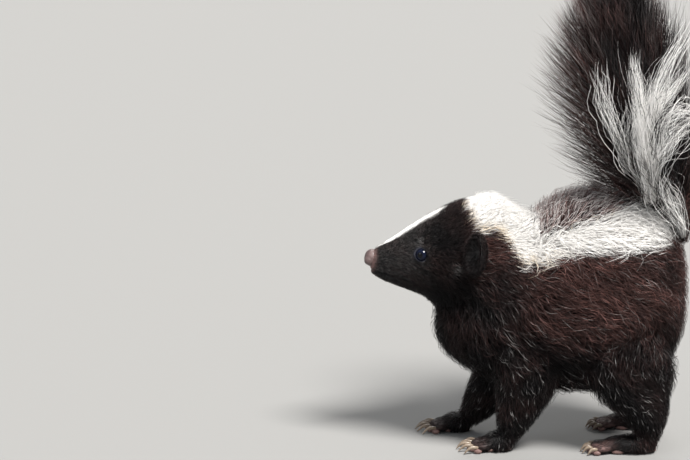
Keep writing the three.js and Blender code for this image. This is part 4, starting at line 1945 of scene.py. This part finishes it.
@dataclass(frozen=True)
class Eye:
    """An eye: a ball with a bulging cornea, in a socket of the skin between two lids."""

    side: Side
    x: float = -63.9
    y: float = 14.6
    z: float = 120.7
    radius: float = 4.6
    opening: float = 4.2
    lid: float = 0.62
    facing: tuple = (-0.428, 0.896, 0.122)

    def centre(self) -> tuple:
        """The middle of the ball."""
        return (self.x, self.side.value * self.y, self.z)

    def way(self) -> tuple:
        """The way the eye faces."""
        return (self.facing[0], self.facing[1] * self.side.value, self.facing[2])

    def polar(self, points: Array) -> tuple[Array, Array]:
        """How far places lie ahead of the ball's middle, and how far off its axis."""
        apart, way = points - self.centre(), np.array(self.way())
        ahead = apart @ way
        return ahead, np.linalg.norm(apart - ahead[:, None] * way, axis=1)

    def socket(self, points: Array) -> Array:
        """How the skin sinks round the ball, so that the eye lies open between its lids.

        Args:
            points: Places in mm, one row each.

        Returns:
            Depths in mm.
        """
        ahead, off = self.polar(points)
        inside = np.minimum(off, self.opening + 0.1)
        ground = np.sqrt(self.radius**2 - inside**2) - 0.75
        sink = np.clip(ahead - ground, 0.0, None) * step(8.0, 4.2, off) * (ahead < 9)
        return -sink[:, None] * np.array(self.way())

    def rim(self, points: Array) -> Array:
        """How much places belong to the bare rim of the lids."""
        ahead, off = self.polar(points)
        return step(6.6, 5.0, off) * (ahead > -1) * (ahead < 6)

    def blocks(self, points: Array) -> Array:
        """Whether places lie in front of the open eye, where no hair stands."""
        ahead, off = self.polar(points)
        return (off < self.opening + 0.25) & (ahead > 0)

    def lids(self) -> bpy.types.Object:
        """The rims of the lids, which hug the ball, with a corner in front and behind."""
        clear_selection()
        bpy.ops.mesh.primitive_torus_add(
            major_radius=self.opening * MM, minor_radius=self.lid * MM, major_segments=56, minor_segments=12
        )
        rim = bpy.context.object
        count = len(rim.data.vertices)
        flat = np.empty(count * 3)
        rim.data.vertices.foreach_get("co", flat)
        points = flat.reshape(-1, 3) / MM
        corner = np.abs(points[:, 0]) / np.hypot(points[:, 0], points[:, 1])
        points[:, 0] *= 0.96 + 0.14 * corner**8
        points[:, 1] *= 1.0 + 0.02 * (points[:, 1] > 0)
        points[:, 2] += math.sqrt(self.radius**2 - self.opening**2) + 0.12 - 0.3 * corner**6
        rim.data.vertices.foreach_set("co", (points * MM).ravel())
        rim.matrix_world = turned_to(self.way(), self.centre())
        return join("lid", [rim])

    def build(self, finishes: Finishes) -> None:
        """Builds the ball with its cornea and settles it.

        Args:
            finishes: The finishes of all pieces.
        """
        clear_selection()
        bpy.ops.mesh.primitive_uv_sphere_add(segments=48, ring_count=32, radius=self.radius * MM)
        ball = bpy.context.object
        count = len(ball.data.vertices)
        flat = np.empty(count * 3)
        ball.data.vertices.foreach_get("co", flat)
        points = flat.reshape(-1, 3)
        tilt = np.arccos(np.clip(points[:, 2] / (self.radius * MM), -1, 1))
        points *= (1 + 0.06 * np.exp(-((tilt / 0.62) ** 4)))[:, None]
        ball.data.vertices.foreach_set("co", points.ravel())
        ring = ball.data.attributes.new("from_pole", "FLOAT", "POINT")
        ring.data.foreach_set("value", tilt)
        ball.matrix_world = turned_to(self.way(), self.centre())
        ball = join(f"eyeball_{self.side.label()}", [ball])
        shade(ball)
        settle(ball, Slot.EYE, finishes.eye, f"eye_{self.side.label()}")


@dataclass
class Nose:
    """The bare nose pad, with nostrils that open forwards and out."""

    x: float = -94.6
    z: float = 115.5
    length: float = 4.6
    width: float = 5.4
    height: float = 5.4

    def build(self, finishes: Finishes) -> None:
        """Builds the pad and settles it.

        Args:
            finishes: The finishes of all pieces.
        """
        radii = (self.length, self.width, self.height)
        pad = lump("nose_pad", radii, (self.x, 0, self.z), segments=48, rings=32)
        wings = [
            lump("wing", (3.4, 2.5, 3.0), (self.x - 1.4, side.value * 3.1, self.z - 1.0)) for side in Side
        ]
        pad = join("nose_pad", [pad, *wings])
        soften(pad, 0.3, 3)
        for side in Side:
            hole = lump(
                "hole", (2.4, 1.3, 1.05),
                (self.x - self.length * 0.8, side.value * 2.6, self.z - 0.8),
                (side.value * 0.5, 0.2, side.value * 0.5),
            )
            carve(pad, hole)
        below = (self.x - self.length * 0.95, 0, self.z - self.height * 0.85)
        groove = lump("groove", (1.3, 0.24, 2.6), below)
        carve(pad, groove)
        soften(pad, 0.22, 2)
        shade(pad)
        settle(pad, Slot.NOSE, finishes.nose, "nose")


@dataclass
class Ear:
    """A rounded ear: a thin cup that opens forwards and out, with short dark fur."""

    side: Side
    x: float = -33
    y: float = 35
    z: float = 125
    width: float = 7.5
    depth: float = 4.6
    height: float = 12
    wall: float = 1.3
    facing: tuple = (-0.72, 0.66, 0.14)

    def centre(self) -> Array:
        """The middle of the cup."""
        return np.array((self.x, self.side.value * self.y, self.z), dtype=float)

    def way(self) -> Array:
        """The way the ear opens."""
        return unit(np.array((self.facing[0], self.facing[1] * self.side.value, self.facing[2])))

    def blocks(self, points: Array) -> Array:
        """Whether places lie in the mouth of the ear, where no hair of the head crosses it.

        Args:
            points: Places in mm, one row each.

        Returns:
            True where hair stays away.
        """
        apart, way = points - self.centre(), self.way()
        ahead = apart @ way
        off = apart - ahead[:, None] * way
        round_it = np.hypot(np.hypot(off[:, 0], off[:, 1]) / self.width, off[:, 2] / self.height)
        return (round_it < 0.9) & (ahead > 0.5) & (off[:, 2] > -self.height * 0.72)

    def build(self, finishes: Finishes) -> bpy.types.Object:
        """Builds the cup and settles it.

        Args:
            finishes: The materials.

        Returns:
            The cup.
        """
        cup = self.egg((self.width, self.height, self.depth), (0, 0, 0))
        inner = (self.width - self.wall, self.height - self.wall, self.depth)
        carve(cup, self.egg(inner, (0, 0, self.depth * 0.72)))
        fold = self.egg((1.4, 3.4, 1.5), (2.6, -4.5, -1.6))
        name = f"ear_cup_{self.side.label()}"
        cup = join(name, [cup, fold])
        soften(cup, 0.45, 3)
        cup.matrix_world = turned_to(self.way(), self.centre())
        cup = join(name, [cup])
        shade(cup)
        settle(cup, Slot.EAR, finishes.ear, f"ear_{self.side.label()}")
        return cup

    def egg(self, radii: tuple, at: tuple) -> bpy.types.Object:
        """An egg-shaped lump in the cup's own frame.

        Args:
            radii: Half sizes in mm.
            at: The place in mm.

        Returns:
            The lump.
        """
        clear_selection()
        bpy.ops.mesh.primitive_uv_sphere_add(segments=40, ring_count=28, radius=MM)
        form = bpy.context.object
        form.scale = radii
        form.location = Vector(at) * MM
        return join("egg", [form])

    def fur(self, cup: bpy.types.Object, finishes: Finishes) -> None:
        """Covers the cup with short hair: close on its back and rim, sparse inside.

        Args:
            cup: The finished cup.
            finishes: The materials.
        """
        draws = np.random.default_rng(SEED + 30 + self.side.value)
        surface, way, centre = SkinMap(cup), self.way(), self.centre()
        middles = surface.middles()
        ahead = (middles - centre) @ way
        facing = unit(surface.normals[surface.triangles].mean(axis=1)) @ way
        density = np.where(facing < 0.25, 3.0, 1.6) + 1.2 * (ahead > 0.6)
        roots, normals = surface.draw(density, draws)
        count = len(roots)
        lie = roots - centre + way * 2.5 + draws.normal(scale=1.6, size=(count, 3))
        lie = unit(lie - normals * (lie * normals).sum(axis=1, keepdims=True))
        inside = (normals @ way > 0.25)[:, None]
        length = draws.uniform(2.4, 4.6, count)[:, None] * np.where(inside, 0.9, 1.0)
        t = np.array((0.0, 0.5, 1.0))[None, :, None]
        paths = roots[:, None] + (lie * length)[:, None] * t + normals[:, None] * (t * (1.6 - t) * 1.3)
        widths = np.array((0.14, 0.13))[None] * draws.uniform(0.8, 1.2, (count, 1))
        flat = np.zeros(count)
        marks = Marks(flat, flat, draws.uniform(size=count), np.full(count, 0.12))
        out = roots - centre
        angle = np.arctan2(out[:, 2], out[:, 0])
        spots = np.stack([angle / (2 * math.pi) + 0.5, np.clip((out @ way) / 12 + 0.5, 0, 1)], axis=1)
        piece = Tufts(paths, widths, marks).mesh(f"coat_ear_{self.side.label()}", normals, spots)
        settle(piece, Slot.COAT, finishes.coat)


# Legs and feet


@dataclass
class Ray:
    """A toe's way on the floor, from the palm to where its claw starts."""

    start: Vector
    ahead: Vector
    tip: Vector


@dataclass
class FootParts:
    """A foot of one leg, with its toes, pads and claws."""

    name: str
    plan: LegPlan
    side: Side
    leg_inset: float = 3.4

    def shift(self) -> float:
        """How far the right leg steps back of the left one."""
        return -self.plan.stride if self.side is Side.RIGHT else 0.0

    def centre(self) -> tuple[float, float]:
        """Where the foot's middle stands."""
        return self.plan.foot.x + self.shift(), self.side.value * self.plan.y

    def limb(self) -> Limb:
        """The leg above the foot."""
        last = len(self.plan.line) - 1
        y = self.side.value * self.plan.y
        points = tuple((x + self.shift() * i / last, y, z) for i, (x, z) in enumerate(self.plan.line))
        return Limb(points=points, rows=self.plan.rows, inset=self.leg_inset)

    def top(self) -> Limb:
        """The foot itself from heel to toes, for the lie of its hair."""
        x, y = self.centre()
        size = self.plan.foot
        points = ((x + size.length / 2, y, 6), (x, y, 5), (x - size.length / 2 - size.reach + 2, y, 3))
        half = size.width / 2
        return Limb(points=points, rows=((0, half, 6, 6), (1, half, 4, 4)), inset=0.4)

    def rays(self) -> list[Ray]:
        """The five toes' rays."""
        foot = self.plan.foot
        x, y = self.centre()
        rays = []
        for k in range(TOES):
            spread = (k - (TOES - 1) / 2) / ((TOES - 1) / 2)
            angle = spread * foot.spread
            set_back = spread**2 * foot.toe * 1.3
            ahead = Vector((-math.cos(angle), math.sin(angle), 0))
            across = y + spread * (foot.width / 2 - foot.toe)
            start = Vector((x - foot.length / 2 + foot.toe + set_back, across, foot.toe))
            rays.append(Ray(start, ahead, start + ahead * foot.reach))
        return rays

    def on_toes(self, points: Array) -> Array:
        """How much places belong to the toes.

        Args:
            points: Places in mm, one row each.

        Returns:
            One value for each place.
        """
        x, y = self.centre()
        foot = self.plan.foot
        near = (np.abs(points[:, 1] - y) < foot.width) & (points[:, 0] > x - foot.length)
        near &= points[:, 2] < 12
        ahead = step(x - foot.length * 0.1, x - foot.length / 2 - 1, points[:, 0])
        return near * ahead * step(11, 6, points[:, 2])

    def toe_line(self, ray: Ray) -> Limb:
        """The form of one toe.

        Args:
            ray: The toe.

        Returns:
            The toe's limb.
        """
        foot = self.plan.foot
        middle = (ray.start + ray.tip) / 2
        points = (tuple(ray.start), (middle.x, middle.y, foot.toe * 1.5), tuple(ray.tip))
        size = foot.toe - 0.15
        rows = ((0, size, size, size), (1, size, size * 0.95, size * 0.95))
        return Limb(points=points, rows=rows, inset=0.0)

    def forms(self) -> list[bpy.types.Object]:
        """The palm and the toes, for the skin."""
        foot = self.plan.foot
        x, y = self.centre()
        radii = (foot.length / 2 - 0.4, foot.width / 2 - 0.4, foot.height / 2 - 0.3)
        palm = lump("palm", radii, (x, y, foot.height / 2 - 1.2))
        return [palm, *(loft("toe", self.toe_line(ray).stations(8), 14) for ray in self.rays())]

    def pads(self, finishes: Finishes) -> None:
        """Builds the bare pads under palm and toes, on the floor.

        Args:
            finishes: The finishes of all pieces.
        """
        foot = self.plan.foot
        x, y = self.centre()
        lumps = [lump("pad", (foot.length * 0.2, foot.width * 0.27, 1.7), (x + foot.length * 0.26, y, 1.6))]
        for k in range(3):
            across = y + (k - 1) * foot.width * 0.25
            radii = (foot.length * 0.12, foot.width * 0.17, 1.8)
            lumps.append(lump("pad", radii, (x - foot.length * 0.2, across, 1.7)))
        lumps += [
            lump("pad", (foot.toe * 0.95, foot.toe * 0.72, 1.6), (ray.tip.x + 0.6, ray.tip.y, 1.5))
            for ray in self.rays()
        ]
        pads = join(f"pads_{self.name}", lumps)
        soften(pads, 0.5, 3)
        places = corners_of(pads.data)
        places[:, 2] = np.maximum(places[:, 2], 0.0)
        set_corners(pads.data, places)
        shade(pads)
        settle(pads, Slot.PAW, finishes.paw)

    def claws(self, finishes: Finishes) -> None:
        """Builds the five curved claws as one piece.

        Args:
            finishes: The finishes of all pieces.
        """
        foot = self.plan.foot
        claws = []
        for ray in self.rays():
            base = ray.tip - ray.ahead * foot.toe * 0.45
            end = ray.tip + ray.ahead * foot.claw
            knuckle = base.lerp(end, 0.55)
            line = Limb(
                points=(
                    (base.x, base.y, foot.toe * 1.3),
                    (knuckle.x, knuckle.y, foot.toe * 1.45),
                    (end.x, end.y, 0.6),
                ),
                rows=((0, 1.1, 1.45, 1.45), (0.5, 0.8, 1.0, 1.0), (1, 0.32, 0.34, 0.34)),
                inset=0.0,
                square=3,
            )
            claws.append(loft("claw", line.stations(12), 14))
        whole = join(f"claws_{self.name}", claws)
        places = corners_of(whole.data)
        places[:, 2] = np.maximum(places[:, 2], 0.02)
        set_corners(whole.data, places)
        shade(whole)
        nodes = [f"claw_{self.name}_{k + 1}" for k in range(TOES)]
        settle(whole, Slot.CLAW, finishes.claw, *nodes)


# Studio


@dataclass
class Studio:
    """The camera at the photograph's angle, the floor and soft lights."""

    pixel: float = 0.6
    frame_width: int = 690
    distance: float = 1500.0
    elevation: float = 12.0
    aim: tuple = (-111.0, -20.0, 137.0)
    sensor: float = 36.0
    floor_half: float = 9.0

    def camera(self) -> None:
        """Sets the camera so that the frame's middle and scale are the photograph's."""
        data = bpy.data.cameras.new("camera")
        data.sensor_width = self.sensor
        data.lens = self.sensor * self.distance / (self.pixel * self.frame_width)
        data.clip_end = 50.0
        camera = bpy.data.objects.new("camera", data)
        bpy.context.scene.collection.objects.link(camera)
        tilt = math.radians(self.elevation)
        aim = Vector(to_frame(self.aim))
        camera.location = aim + Vector((0, -math.cos(tilt), math.sin(tilt))) * self.distance * MM
        camera.rotation_euler = (math.pi / 2 - tilt, 0, 0)
        bpy.context.scene.camera = camera

    def floor(self) -> None:
        """Lays the plain pale floor."""
        clear_selection()
        bpy.ops.mesh.primitive_plane_add(size=self.floor_half * 2)
        floor = bpy.context.object
        floor.name = "floor"
        material = bpy.data.materials.new("pale_floor")
        material.use_nodes = True
        shader = material.node_tree.nodes["Principled BSDF"]
        shader.inputs["Base Color"].default_value = (0.27, 0.268, 0.262, 1)
        shader.inputs["Roughness"].default_value = 0.8
        shader.inputs["Specular IOR Level"].default_value = 0.2
        floor.data.materials.append(material)

    def light(self, name: str, at: tuple, power: float, colour: tuple, angle: float) -> None:
        """Adds a soft sun that shines from a side onto the animal.

        Args:
            name: The light's name.
            at: The side it shines from.
            power: Its power.
            colour: Its colour.
            angle: The angle it covers, which softens its shadows.
        """
        data = bpy.data.lights.new(name, "SUN")
        data.energy = power
        data.color = colour
        data.angle = angle
        light = bpy.data.objects.new(name, data)
        light.location = at
        light.rotation_euler = Vector(at).to_track_quat("Z", "Y").to_euler()
        bpy.context.scene.collection.objects.link(light)

    def build(self) -> None:
        """Builds camera, floor, lights and the pale surroundings."""
        self.camera()
        self.floor()
        bpy.context.scene.view_settings.view_transform = "Standard"
        self.light("key", (0.5, -0.6, 1.3), 6.4, (1, 0.98, 0.95), 0.35)
        self.light("fill", (-1.3, -1.0, 0.7), 0.5, (0.88, 0.94, 1), 0.5)
        self.light("rim", (0.1, 1.1, 0.9), 1.1, (1, 0.98, 0.95), 0.5)
        world = bpy.data.worlds.new("pale_room")
        world.use_nodes = True
        world.node_tree.nodes["Background"].inputs[0].default_value = (0.85, 0.87, 0.9, 1)
        world.node_tree.nodes["Background"].inputs[1].default_value = 0.42
        bpy.context.scene.world = world


def build_anatomy(feet: list[FootParts]) -> Anatomy:
    """The parts of the body with their hair.

    Args:
        feet: The four feet.

    Returns:
        The anatomy.
    """
    anatomy = Anatomy()
    short = (0.0, 0.5, 1.0)
    anatomy.add(CoatPart("head", HEAD, Pelage(2.4, 0.5, 0.125, 3.4), Pelage(9.5, 4.6, 0.17, 2.2), short))
    anatomy.add(CoatPart("neck", NECK, Pelage(12, 4.8, 0.24, 1.1), Pelage(18, 7.5, 0.27, 1.0)))
    anatomy.add(CoatPart("torso", TORSO, Pelage(17, 7.2, 0.27, 0.95), Pelage(19, 8.4, 0.29, 0.95)))
    for foot in feet:
        upper, lower = Pelage(13, 4.6, 0.25, 1.0), Pelage(6, 2.6, 0.19, 1.2)
        heel, toes = Pelage(5, 1.0, 0.17, 1.3), Pelage(2.8, 0.5, 0.13, 1.1)
        anatomy.add(CoatPart(f"leg_{foot.name}", foot.limb(), upper, lower))
        anatomy.add(CoatPart(f"foot_{foot.name}", foot.top(), heel, toes, short))
    return anatomy


def main() -> None:
    """Builds the studio and every piece of the animal, in order."""
    logging.basicConfig(level=logging.INFO, format="%(name)s %(message)s")
    Studio().build()
    finishes = Finishes()
    eyes = [Eye(side) for side in Side]
    ears = [Ear(side) for side in Side]
    feet = [
        FootParts(f"{name}_{side.label()}", plan, side)
        for name, plan in (("fore", FORE), ("hind", HIND))
        for side in Side
    ]
    body = Skin()
    skin = body.build(feet, eyes)
    body.dress(skin, feet, eyes, finishes)
    keep_clear = [feature.blocks for feature in (*eyes, *ears)]
    Coat(SkinMap(skin), build_anatomy(feet), body, keep_clear).pieces(finishes)
    Plume().build(finishes)
    WhiteStrands().build(finishes)
    Whiskers().build(finishes)
    for eye in eyes:
        eye.build(finishes)
    Nose().build(finishes)
    for ear in ears:
        ear.fur(ear.build(finishes), finishes)
    for foot in feet:
        foot.pads(finishes)
        foot.claws(finishes)


if __name__ == "__main__":
    main()
